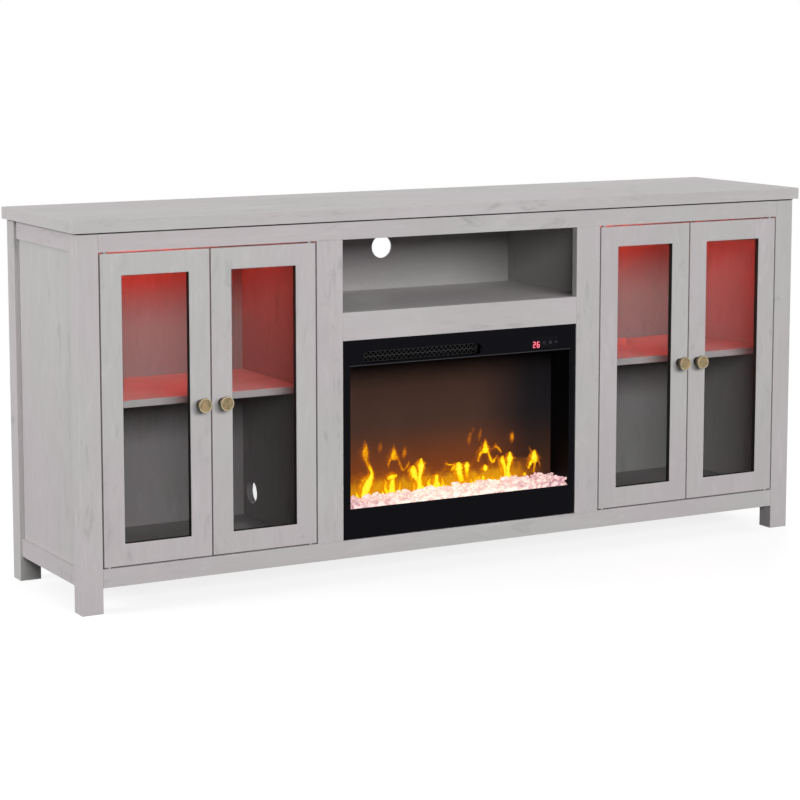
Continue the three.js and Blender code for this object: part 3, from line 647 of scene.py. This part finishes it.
def make_top_shade_strip():
    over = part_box("tabletop")[0].z - SHADE_STRIP_MARGIN
    rims = []
    for proud in (SHADE_STRIP_PROUD, -SHADE_STRIP_PROUD):
        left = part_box("leg_front_left")[0].x - proud
        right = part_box("leg_front_right")[1].x + proud
        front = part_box("front_top_rail")[0].y - proud
        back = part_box("leg_back_left")[1].y
        rims.append(((left, back), (left, front), (right, front), (right, back)))
    bm = bmesh.new()
    sections = []
    under = over - SHADE_STRIP_HEIGHT
    for outer, inner in zip(*rims):
        ring = ((*outer, over), (*outer, under), (*inner, under), (*inner, over))
        sections.append([bm.verts.new(corner) for corner in ring])
    for one, other in zip(sections, sections[1:]):
        bridge(bm, one, other)
    bm.faces.new(sections[0])
    bm.faces.new(sections[-1])
    bmesh.ops.recalc_face_normals(bm, faces=bm.faces[:])
    piece_from("top_joint", bm, seal_and_shade_black, "cabinet")


make_top_shade_strip()


# Crystals: tumbled glass, heaped from the ledge up over a low mound that shows painted shade between them
CRYSTAL_PITCH = 9.2 * MM
CRYSTAL_SIZES = (5.2 * MM, 7.6 * MM)
CRYSTAL_CORNERS = 13
CORNER_REACH_SHARES = (0.86, 1.0)
FLATNESS_SHARE = 0.8
ACROSS_CELL_SHARES = (0.1, 0.9)
BACK_CELL_SHARES = (0.2, 0.8)
SUNK_SHARES = (0.3, 0.8)
FRONT_LAYERS = 3
LAYER_STEP_SHARE = 1.2
LOWER_LAYER_FACET_LIGHT = 0.65
PINK_START_SHARE = 0.45
PINK_RATE = 1.2
PINK_SCATTER_SHARES = (-0.15, 0.3)
MOUND_INSET = 7 * MM
MOUND_DROP = 7 * MM
MOUND_COLUMNS = 40
MOUND_LEAST = 1 * MM
HEAP_SINK = 8 * MM
PROBE_HEIGHT = 50 * MM
GAP_START_SHARE = 0.86
GAP_CHANCE = 0.35


def add_crystal(bm, draw, middle, size, layers, tint, least_facet_light):
    """Adds one crystal: the hull of points strewn over a slightly flattened ball."""
    spark, pink = layers
    corners = []
    for _ in range(CRYSTAL_CORNERS):
        way = Vector((draw.gauss(0, 1), draw.gauss(0, 1), draw.gauss(0, 1))).normalized()
        way.z *= FLATNESS_SHARE
        corners.append(bm.verts.new(middle + way * size * draw.uniform(*CORNER_REACH_SHARES)))
    hull = bmesh.ops.convex_hull(bm, input=corners)
    inside = hull["geom_interior"] + hull["geom_unused"]
    spare = set(part for part in inside if isinstance(part, bmesh.types.BMVert))
    for face in hull["geom"]:
        if isinstance(face, bmesh.types.BMFace):
            # Each facet gets a random share of painted light, and crystals in the lower layers get at least
            # the least share.
            face[spark] = draw.uniform(least_facet_light, 1.0)
            face[pink] = tint
    bmesh.ops.delete(bm, geom=list(spare), context="VERTS")


def add_mound(bm, low, high, top_at, layers):
    """Adds the closed mound under the crystals, which follows the top of the bed. It gets no painted facet
    light, so it shows painted shade in the gaps between the crystals.
    """
    spark, pink = layers
    left, width = low.x + MOUND_INSET, high.x - low.x - 2 * MOUND_INSET
    front, back = low.y + MOUND_INSET, high.y - MOUND_INSET
    rows = []
    for i in range(MOUND_COLUMNS + 1):
        x = left + width * i / MOUND_COLUMNS
        sink = MOUND_DROP + HEAP_SINK * (high.x - x) / (high.x - low.x)
        tops = [max(top_at(x, y) - sink, low.z + MOUND_LEAST) for y in (front, back)]
        section = ((front, low.z), (front, tops[0]), (back, tops[1]), (back, low.z))
        rows.append([bm.verts.new((x, y, z)) for y, z in section])
    faces = [bm.faces.new(rows[0]), bm.faces.new(rows[-1])]
    for one, other in zip(rows, rows[1:]):
        faces += bridge(bm, one, other)
    for face in faces:
        face[spark] = 0.0
        face[pink] = abs(face.calc_center_median().x) / high.x


def make_crystals():
    draw = random.Random(11)
    low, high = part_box("crystal_bed")
    bed = nodes["crystal_bed"]

    def top_at(x, y):
        hit, spot, _, _ = bed.ray_cast(Vector((x, y, high.z + PROBE_HEIGHT)), Vector((0, 0, -1)))
        return spot.z if hit else low.z

    bm = bmesh.new()
    layers = (bm.faces.layers.float.new("spark"), bm.faces.layers.float.new("pink"))
    add_mound(bm, low, high, top_at, layers)
    columns = round((high.x - low.x) / CRYSTAL_PITCH)
    rows = round((high.y - low.y) / CRYSTAL_PITCH)
    for i in range(columns):
        for j in range(rows):
            for level in range(FRONT_LAYERS if j == 0 else 1):
                size = draw.uniform(*CRYSTAL_SIZES)
                if i > GAP_START_SHARE * columns and draw.random() < GAP_CHANCE:
                    continue
                x = low.x + (i + draw.uniform(*ACROSS_CELL_SHARES)) / columns * (high.x - low.x)
                y = low.y + (j + draw.uniform(*BACK_CELL_SHARES)) / rows * (high.y - low.y)
                if j == 0:
                    y = low.y
                x = min(max(x, low.x + size), high.x - size)
                y = min(max(y, low.y + size), high.y - size)
                sink = HEAP_SINK * (high.x - x) / (high.x - low.x)
                top = top_at(x, y) - sink - size * draw.uniform(*SUNK_SHARES)
                z = max(top - level * LAYER_STEP_SHARE * size, low.z + FLATNESS_SHARE * size)
                tint = (abs(x) / high.x - PINK_START_SHARE) * PINK_RATE + draw.uniform(*PINK_SCATTER_SHARES)
                tint = min(max(tint, 0.0), 1.0)
                least_facet_light = LOWER_LAYER_FACET_LIGHT if level else 0.0
                add_crystal(bm, draw, Vector((x, y, z)), size, layers, tint, least_facet_light)
    bmesh.ops.recalc_face_normals(bm, faces=bm.faces[:])
    crystals = piece_from("crystals", bm, crystal, "cabinet")
    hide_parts("crystal_bed")


make_crystals()


# Flames: tongues of light just in front of the screen. Each point on a tongue's middle line gives its place
# from the middle of the screen, its height over the screen's foot, half its width, all in mm, and its heat.
TONGUES = (
    ((-198, 2, 8, 1), (-193, 25, 9, 1), (-186, 40, 9, 1), (-179, 55, 5, 0.9), (-179, 66, 4, 0.65),
     (-188, 83, 5, 0.36), (-193, 97, 8, 0.42), (-194, 110, 8, 0.45), (-194, 122, 6, 0.35),
     (-196, 138, 2, 0.1)),
    ((-158, 96, 4, 0.05), (-158, 112, 7, 0.24), (-157, 124, 5, 0.2), (-157, 134, 2, 0.02)),
    ((-132, 5, 12, 1), (-129, 20, 9, 1), (-128, 35, 6, 0.95), (-127, 47, 5, 0.8)),
    ((-142, 45, 3, 0.5), (-131, 48, 5, 0.9), (-115, 51, 3, 0.6)),
    ((-140, 12, 5, 0.8), (-145, 26, 4, 0.7), (-144, 38, 3, 0.6), (-149, 46, 2, 0.3)),
    ((-110, 16, 3, 0.6), (-109, 31, 3, 0.5), (-108, 38, 2, 0.2)),
    ((-124, 84, 12, 0.38), (-124, 94, 9, 0.52), (-124, 106, 5, 0.44), (-125, 124, 2, 0.12)),
    ((-131, 90, 3, 0.33), (-137, 79, 4, 0.34), (-137, 62, 2, 0.12)),
    ((-116, 90, 3, 0.33), (-110, 79, 3, 0.34), (-103, 62, 3, 0.4), (-96, 64, 3, 0.34),
     (-89, 71, 3, 0.4), (-86, 81, 2, 0.25)),
    ((-102, 84, 4, 0.2), (-98, 98, 7, 0.33), (-97, 108, 5, 0.25), (-96, 121, 2, 0.03)),
    ((-59, 8, 6, 0.9), (-61, 24, 5, 0.9), (-66, 36, 5, 0.8), (-73, 48, 7, 1), (-76, 60, 7, 1),
     (-76, 70, 3, 0.5)),
    ((-56, 7, 10, 1), (-60, 26, 7, 1), (-60, 42, 5, 0.9), (-57, 58, 6, 1), (-57, 70, 7, 1),
     (-56, 84, 2, 0.5)),
    ((-72, 4, 4, 0.5), (-74, 20, 4, 0.5), (-73, 38, 2, 0.2)),
    ((-18, 2, 14, 1), (-18, 18, 9, 1), (-18, 32, 5, 0.9), (-18, 40, 5, 0.9), (-18, 45, 2, 0.4)),
    ((-28, 10, 5, 0.7), (-38, 27, 5, 0.7), (-32, 36, 2, 0.4)),
    ((-8, 8, 5, 0.7), (-2, 27, 4, 0.6), (-6, 35, 2, 0.3)),
    ((47, 20, 7, 0.5), (42, 35, 7, 0.9), (39, 50, 8, 1), (38, 60, 7, 1), (38, 66, 3, 0.6)),
    ((60, 24, 5, 0.3), (59, 46, 5, 0.8), (59, 56, 6, 1), (59, 65, 3, 0.5)),
    ((34, 60, 4, 0.5), (24, 54, 4, 0.6), (18, 46, 3, 0.3)),
    ((4, 67, 2, 0.4), (14, 62, 2, 0.5), (28, 62, 2, 0.4)),
    ((65, 94, 4, 0.05), (64, 112, 6, 0.24), (67, 126, 5, 0.24), (68, 135, 2, 0.03)),
    ((88, 98, 3, 0.03), (91, 118, 5, 0.24), (93, 132, 4, 0.24), (93, 143, 2, 0.03)),
    ((70, 124, 5, 0.1), (75, 136, 5, 0.2), (76, 145, 2, 0.03)),
    ((106, 79, 11, 0.6), (106, 89, 8, 0.85), (106, 98, 5, 0.7), (105, 114, 2, 0.25)),
    ((98, 85, 3, 0.5), (91, 76, 4, 0.5), (87, 61, 3, 0.5)),
    ((113, 83, 3, 0.5), (116, 74, 3, 0.5), (124, 59, 4, 0.6), (132, 66, 3, 0.4), (138, 73, 2, 0.3)),
    ((123, 86, 2, 0.2), (132, 92, 3, 0.42), (141, 86, 3, 0.42), (148, 76, 2, 0.3)),
    ((132, 90, 4, 0.3), (132, 107, 2, 0.08)),
    ((107, 38, 2, 0.5), (106, 46, 6, 1), (104, 55, 2, 0.4)),
    ((100, 18, 2, 0.4), (100, 25, 5, 0.8), (99, 32, 2, 0.3)),
    ((208, 18, 2, 0.3), (208, 23, 5, 0.6), (210, 29, 2, 0.2)),
    ((168, 5, 10, 1), (162, 29, 7, 1), (154, 48, 5, 0.9), (150, 60, 6, 0.9), (150, 71, 3, 0.4)),
    ((168, 5, 7, 1), (164, 36, 5, 0.9), (168, 52, 5, 0.9), (169, 63, 7, 1), (169, 78, 3, 0.5)),
    ((174, 90, 2, 0.05), (174, 104, 6, 0.34), (174, 114, 6, 0.34), (173, 131, 2, 0.03)),
    ((234, 46, 6, 0.8), (233, 56, 8, 1), (233, 66, 6, 0.9), (233, 77, 2, 0.4)),
    ((230, 54, 4, 0.7), (223, 47, 4, 0.7), (217, 34, 3, 0.6)),
    ((236, 50, 3, 0.5), (233, 37, 3, 0.4), (231, 24, 3, 0.5)),
    ((227, 70, 2, 0.3), (222, 78, 2, 0.3), (218, 88, 1, 0.1)),
    ((241, 56, 2, 0.3), (247, 42, 2, 0.3), (247, 29, 1, 0.1)),
)
TONGUE_STEPS = 6
TONGUE_SPREAD = 1.6
GLOW_SPREAD = 1.9
GLOW_REACH = 3
GLOW_SHARE = 0.42
FLAME_GAP = 0.3 * MM
FLAME_LAYER = 0.04 * MM
RAGGED_SHARES = (0.8, 1.2)
ACROSS_SHARES = (-1.0, -0.7, -0.4, 0.0, 0.4, 0.7, 1.0)
HEAT_SHARES = (0.0, 0.3, 0.85, 1.0, 0.85, 0.3, 0.0)

# Licks: each point gives its share of the lick's lean, height, half width and heat. Lengths are in mm.
LICK_SHARES = ((0, 0, 1, 0.9), (0.3, 0.35, 0.9, 0.8), (1, 0.7, 0.6, 0.65), (0.8, 1, 0, 0.3))
LOW_LICK_SHARES = ((0, 0, 1.5, 1), (0.4, 0.5, 1, 0.8), (1, 1, 0, 0.2))
LICK_TIP = 1
LICK_REACH = 48
LICK_SPREAD = 1.4
LICK_HEIGHT_SHARES = (0.3, 0.65)
LICK_HALF_SHARES = (0.3, 0.5)
LICK_LEAN_SHARE = 0.3
LOW_LICK_COUNT = 46
LOW_LICK_ENDS = (-222, 178)
LOW_LICK_HEIGHTS = (8, 24)
LOW_LICK_HALVES = (2, 4.5)
LOW_LICK_HEATS = (0.45, 0.8)
HEAP_SLOPE = 0.05
STANDING_FOOT = 20
STANDING_HEAT = 0.9


def curve_through(points, steps):
    """Points on a smooth curve through the given ones (a Catmull-Rom spline)."""
    ends = [points[0], *points, points[-1]]
    out = []
    for a, b, c, d in zip(ends, ends[1:], ends[2:], ends[3:]):
        for step in range(steps):
            t = step / steps
            weights = (
                (-t + 2 * t ** 2 - t ** 3) / 2,
                (2 - 5 * t ** 2 + 3 * t ** 3) / 2,
                (t + 4 * t ** 2 - 3 * t ** 3) / 2,
                (t ** 3 - t ** 2) / 2,
            )
            out.append(tuple(sum(w * p[k] for w, p in zip(weights, (a, b, c, d))) for k in range(len(b))))
    return [*out, points[-1]]


def add_rows(bm, heat, rows):
    """Joins rows of (place, heat) points into a strip of faces."""
    grid = []
    for row in rows:
        verts = []
        for place, value in row:
            vert = bm.verts.new(place)
            vert[heat] = value
            verts.append(vert)
        grid.append(verts)
    for one, other in zip(grid, grid[1:]):
        for k in range(len(one) - 1):
            bm.faces.new((one[k], one[k + 1], other[k + 1], other[k]))


def lick(x, foot, height, half, lean, hot, shares):
    """The middle line of one lick, by shares of its lean, height, half width and heat."""
    return [(x + lean * a, foot + height * b, half * c or LICK_TIP, hot * d) for a, b, c, d in shares]


def licks_beside(tongue, draw):
    """Small licks that lean away on both sides of a tongue that stands on the crystals."""
    foot_x, foot_z, foot_half, hot = tongue[0]
    tall = min(tongue[-1][1] - foot_z, LICK_REACH)
    licks = []
    for side in (-1, 1):
        height = tall * draw.uniform(*LICK_HEIGHT_SHARES)
        x = foot_x + side * foot_half * LICK_SPREAD
        half = foot_half * draw.uniform(*LICK_HALF_SHARES)
        lean = side * draw.uniform(0.0, LICK_LEAN_SHARE) * height
        licks.append(lick(x, foot_z, height, half, lean, hot, LICK_SHARES))
    return licks


def low_licks(draw):
    """A row of short licks along the crystals."""
    left, right = LOW_LICK_ENDS
    licks = []
    for k in range(LOW_LICK_COUNT):
        x = left + (k + draw.random()) / LOW_LICK_COUNT * (right - left)
        height = draw.uniform(*LOW_LICK_HEIGHTS)
        half = draw.uniform(*LOW_LICK_HALVES)
        lean = draw.uniform(-LICK_LEAN_SHARE, LICK_LEAN_SHARE) * height
        hot = draw.uniform(*LOW_LICK_HEATS)
        foot = (x + right) * HEAP_SLOPE
        licks.append(lick(x, foot, height, half, lean, hot, LOW_LICK_SHARES))
    return licks


def glow_round(tongue):
    """The wide and faint glow behind a tongue."""
    return [(x, z, half * GLOW_SPREAD + GLOW_REACH, hot * GLOW_SHARE) for x, z, half, hot in tongue]


def tongue_rows(line, y, foot, draw):
    """Rows of (place, heat) points across a tongue's middle line, a little ragged in width."""
    rows = []
    for k, (x, z, half, hot) in enumerate(line):
        before = line[max(k - 1, 0)]
        after = line[min(k + 1, len(line) - 1)]
        way = Vector((after[0] - before[0], 0, after[1] - before[1])).normalized()
        side = Vector((way.z, 0, -way.x))
        tip = 0.0 if k in (0, len(line) - 1) else 1.0
        ragged = draw.uniform(*RAGGED_SHARES)
        row = []
        for across, share in zip(ACROSS_SHARES, HEAT_SHARES):
            spot = Vector((x, 0, z)) * MM + side * across * half * ragged * TONGUE_SPREAD * MM
            row.append((Vector((spot.x, y, foot + max(spot.z, 0))), max(hot, 0) * share * tip))
        rows.append(row)
    return rows


def make_flames():
    draw = random.Random(5)
    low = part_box("flame_screen")[0]
    bm = bmesh.new()
    heat = bm.verts.layers.float.new("warmth")
    tongues = [glow_round(tongue) for tongue in TONGUES]
    tongues += low_licks(draw)
    for tongue in TONGUES:
        if tongue[0][1] <= STANDING_FOOT and tongue[0][3] >= STANDING_HEAT:
            tongues += licks_beside(tongue, draw)
    tongues += TONGUES
    for number, tongue in enumerate(tongues):
        y = low.y - FLAME_GAP - number * FLAME_LAYER
        line = curve_through(tongue, TONGUE_STEPS)
        add_rows(bm, heat, tongue_rows(line, y, low.z, draw))
    piece_from("flames", bm, flame, "cabinet")


make_flames()


# The control panel's figures and marks, and the trim along the top of the insert's window
MARK_PROUD = 0.15 * MM


def add_patch(bm, warmth, rim):
    """Adds a flat lit face, from its corners in order."""
    face = bm.faces.new([bm.verts.new(corner) for corner in rim])
    for vert in face.verts:
        vert[warmth] = 1.0


SEGMENT_SHARES = {
    "top": ((-1, 2), (1, 2)), "middle": ((-1, 0), (1, 0)), "foot": ((-1, -2), (1, -2)),
    "high_left": ((-1, 2), (-1, 0)), "high_right": ((1, 2), (1, 0)),
    "low_left": ((-1, 0), (-1, -2)), "low_right": ((1, 0), (1, -2)),
}
FIGURES = {
    2: ("top", "high_right", "middle", "low_left", "foot"),
    6: ("top", "high_left", "middle", "low_left", "low_right", "foot"),
}
FIGURES_SHOWN = (2, 6)
DIGIT_PROUD = 0.3 * MM
DIGIT_HALF_WIDTH = 2.6 * MM
DIGIT_QUARTER_HEIGHT = 2.9 * MM
DIGIT_PITCH = 10.5 * MM
DIGIT_FIRST_X = 181 * MM
DIGIT_RISE = -5 * MM
SEGMENT_HALF = 1.05 * MM
SEGMENT_TRIM_SHARE = 0.25


def make_digits():
    low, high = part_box("control_panel")
    middle_z = (low.z + high.z) / 2 + DIGIT_RISE
    bm = bmesh.new()
    warmth = bm.verts.layers.float.new("warmth")
    for place, figure in enumerate(FIGURES_SHOWN):
        x = DIGIT_FIRST_X + place * DIGIT_PITCH
        for name in FIGURES[figure]:
            ends = [
                Vector((x + a * DIGIT_HALF_WIDTH, low.y - DIGIT_PROUD, middle_z + b * DIGIT_QUARTER_HEIGHT))
                for a, b in SEGMENT_SHARES[name]
            ]
            way = (ends[1] - ends[0]).normalized() * SEGMENT_HALF
            side = Vector((way.z, 0, -way.x))
            one, other = ends[0] + way * SEGMENT_TRIM_SHARE, ends[1] - way * SEGMENT_TRIM_SHARE
            rim = [one - way, one + side, other + side, other + way, other - side, one - side]
            add_patch(bm, warmth, rim)
    piece_from("display_digits", bm, digit_red, "cabinet")


HALO_HALVES = (10.5 * MM, 9.5 * MM)
HALO_SHARES = ((0.0, 0.75), (0.35, 0.6), (0.65, 0.25), (1.0, 0.0))
HALO_STEPS = 24


def make_halo():
    """The red glow round the figures, which fades from its middle to its rim."""
    low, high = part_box("control_panel")
    middle = Vector((DIGIT_FIRST_X + DIGIT_PITCH / 2, low.y - MARK_PROUD, (low.z + high.z) / 2 + DIGIT_RISE))
    bm = bmesh.new()
    warmth = bm.verts.layers.float.new("warmth")
    rings = []
    for share, heat in HALO_SHARES:
        ring = []
        for i in range(HALO_STEPS if share else 1):
            turn = 2 * math.pi * i / HALO_STEPS
            reach = Vector((math.cos(turn) * HALO_HALVES[0], 0, math.sin(turn) * HALO_HALVES[1])) * share
            vert = bm.verts.new(middle + reach)
            vert[warmth] = heat
            ring.append(vert)
        rings.append(ring)
    for one, other in zip(rings, rings[1:]):
        bridge(bm, one, other)
    piece_from("display_glow", bm, digit_halo, "cabinet")


ICON_PLACES = (207 * MM, 223 * MM, 238 * MM)
ICON_HALF = 3.2 * MM
ICON_RISE = -2 * MM
RING_STEPS = 20
RING_HOLE_SHARE = 0.7
BAR_SHARES = ((-1, -0.18, 1, 0.18), (-1, 0.5, 1, 0.86), (-1, -0.86, 1, -0.5))
ARROW_SHARES = (
    ((-1, -0.6), (0, 0.3), (0, 0.8), (-1, -0.1)),
    ((0, 0.3), (1, -0.6), (1, -0.1), (0, 0.8)),
)


def make_icons():
    """Three plain touch marks: a ring, three bars and an arrowhead."""
    low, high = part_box("control_panel")
    middle_z = (low.z + high.z) / 2 + ICON_RISE
    bm = bmesh.new()
    warmth = bm.verts.layers.float.new("warmth")

    def add_mark(x, rim):
        spots = [(x + a * ICON_HALF, low.y - MARK_PROUD, middle_z + b * ICON_HALF) for a, b in rim]
        add_patch(bm, warmth, spots)

    ring_x, bars_x, arrow_x = ICON_PLACES
    for i in range(RING_STEPS):
        turns = [2 * math.pi * k / RING_STEPS for k in (i, i + 1)]
        outer = [(math.cos(turn), math.sin(turn)) for turn in turns]
        inner = [(a * RING_HOLE_SHARE, b * RING_HOLE_SHARE) for a, b in outer]
        add_mark(ring_x, (outer[0], outer[1], inner[1], inner[0]))
    for left, under, right, over in BAR_SHARES:
        add_mark(bars_x, ((left, under), (right, under), (right, over), (left, over)))
    for half in ARROW_SHARES:
        add_mark(arrow_x, half)
    piece_from("touch_marks", bm, icon_grey, "cabinet")


TRIM_HALF_HEIGHT = 0.8 * MM
TRIM_PROUD = 0.4 * MM
TRIM_DROP = 0.7 * MM
TRIM_MARGIN = 14 * MM
TRIM_STEPS = 8


def make_trim():
    """The rounded strip along the top of the insert's window."""
    low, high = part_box("insert_front_frame")
    middle_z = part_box("insert_glass")[1].z - TRIM_DROP
    bm = bmesh.new()
    rows = []
    for x in (low.x + TRIM_MARGIN, high.x - TRIM_MARGIN):
        row = []
        for i in range(TRIM_STEPS + 1):
            turn = math.pi * i / TRIM_STEPS
            y = low.y - TRIM_PROUD * math.sin(turn)
            z = middle_z + TRIM_HALF_HEIGHT * math.cos(turn)
            row.append(bm.verts.new((x, y, z)))
        rows.append(row)
    bridge(bm, *rows)
    for row in rows:
        bm.faces.new(row)
    bmesh.ops.recalc_face_normals(bm, faces=bm.faces[:])
    piece_from("window_trim", bm, trim_metal, "cabinet", smooth=True)


make_digits()
make_halo()
make_icons()
make_trim()


# The camera stands where the photograph was taken
CAMERA_PLACE = (-2.6531, -4.6739, 1.2220)
CAMERA_DIP = 7.437
CAMERA_TURN = -29.095
CAMERA_LENS = 110.7
CAMERA_SHIFT = -0.1
camera = bpy.data.objects.new("camera", bpy.data.cameras.new("camera"))
bpy.context.scene.collection.objects.link(camera)
camera.location = CAMERA_PLACE
camera.rotation_euler = (math.radians(90 - CAMERA_DIP), 0, math.radians(CAMERA_TURN))
camera.data.lens = CAMERA_LENS
camera.data.shift_y = CAMERA_SHIFT
bpy.context.scene.camera = camera


# Studio
FLOOR_HALF = 30.0
FLOOR_DROP = 0.2 * MM
FLOOR_FADE = (1.0, 3.0)
FLOOR_GREY = 0.12
SEEN_GREY = 0.24
SEEN_LIFT = 0.83
SKY_LIGHT = 0.45
SKY_RISE = (0.5, 0.85)
WHITE = (1, 1, 1, 1)


def seen_ray(tree):
    """1 for what is seen directly, in gloss or through glass, and 0 for the light that falls on things."""
    direct = tree.add("LightPath", output="Is Camera Ray")
    mirrored = tree.add("LightPath", output="Is Glossy Ray")
    through = tree.add("LightPath", output="Is Transmission Ray")
    return direct.math("MAXIMUM", direct.math("MAXIMUM", direct, mirrored), through)


def make_world():
    world = bpy.data.worlds.new("studio")
    bpy.context.scene.world = world
    tree = Tree(world)
    way = tree.add("SeparateXYZ", sockets={0: tree.add("TexCoord", output=0)}, output=2)
    sky = way.rise(*SKY_RISE) * SKY_LIGHT
    backdrop = tree.add("Background", sockets={"Color": WHITE, "Strength": sky + seen_ray(tree) * (1 - sky)})
    tree.add("OutputWorld", sockets={"Surface": backdrop})


def grey(value):
    return (value, value, value, 1)


def make_floor():
    """A floor that keeps the cabinet's shadow near it and fades to plain white further away."""
    material, tree = new_material("studio_floor")
    away = tree.add("VectorMath", {"operation": "LENGTH"}, {0: spot_on(tree)}, output=1)
    unseen = tree.add("BsdfDiffuse", sockets={"Color": grey(FLOOR_GREY)})
    shaded = tree.add("BsdfDiffuse", sockets={"Color": grey(SEEN_GREY)})
    lift = tree.add("Emission", sockets={"Color": WHITE, "Strength": SEEN_LIFT})
    near = tree.add("AddShader", sockets={0: shaded, 1: lift})
    far = tree.add("Emission", sockets={"Color": WHITE, "Strength": 1.0})
    seen = tree.add("MixShader", sockets={0: away.rise(*FLOOR_FADE), 1: near, 2: far})
    finish_with(tree, tree.add("MixShader", sockets={0: seen_ray(tree), 1: unseen, 2: seen}))
    material.cycles.emission_sampling = "NONE"
    mesh = bpy.data.meshes.new("studio_floor")
    ends = ((-1, -1), (1, -1), (1, 1), (-1, 1))
    mesh.from_pydata([(x * FLOOR_HALF, y * FLOOR_HALF, -FLOOR_DROP) for x, y in ends], [], [(0, 1, 2, 3)])
    mesh.materials.append(material)
    floor = bpy.data.objects.new("studio_floor", mesh)
    bpy.context.scene.collection.objects.link(floor)


def make_lamp(name, turn, rise, distance, size, power):
    """A soft box that faces the cabinet, by its turn to the right of the front and its rise, in degrees."""
    lamp = bpy.data.lights.new(name, "AREA")
    lamp.shape = "RECTANGLE"
    lamp.size, lamp.size_y = size
    lamp.energy = power
    holder = bpy.data.objects.new(name, lamp)
    bpy.context.scene.collection.objects.link(holder)
    holder.visible_glossy = False
    turn, rise = math.radians(turn), math.radians(rise)
    way = Vector((math.sin(turn) * math.cos(rise), -math.cos(turn) * math.cos(rise), math.sin(rise)))
    holder.location = Vector((0, 0, cad_box[1][2] / 2)) + way * distance
    holder.rotation_euler = way.to_track_quat("Z", "Y").to_euler()


make_world()
make_floor()
make_lamp("lamp_front", turn=-5, rise=18, distance=7.0, size=(6.5, 1.8), power=437)
make_lamp("lamp_left", turn=-97, rise=18, distance=6.0, size=(1.6, 1.6), power=197)
make_lamp("lamp_back", turn=140, rise=25, distance=6.0, size=(2.2, 2.2), power=215)
bpy.context.scene.view_settings.view_transform = "Standard"
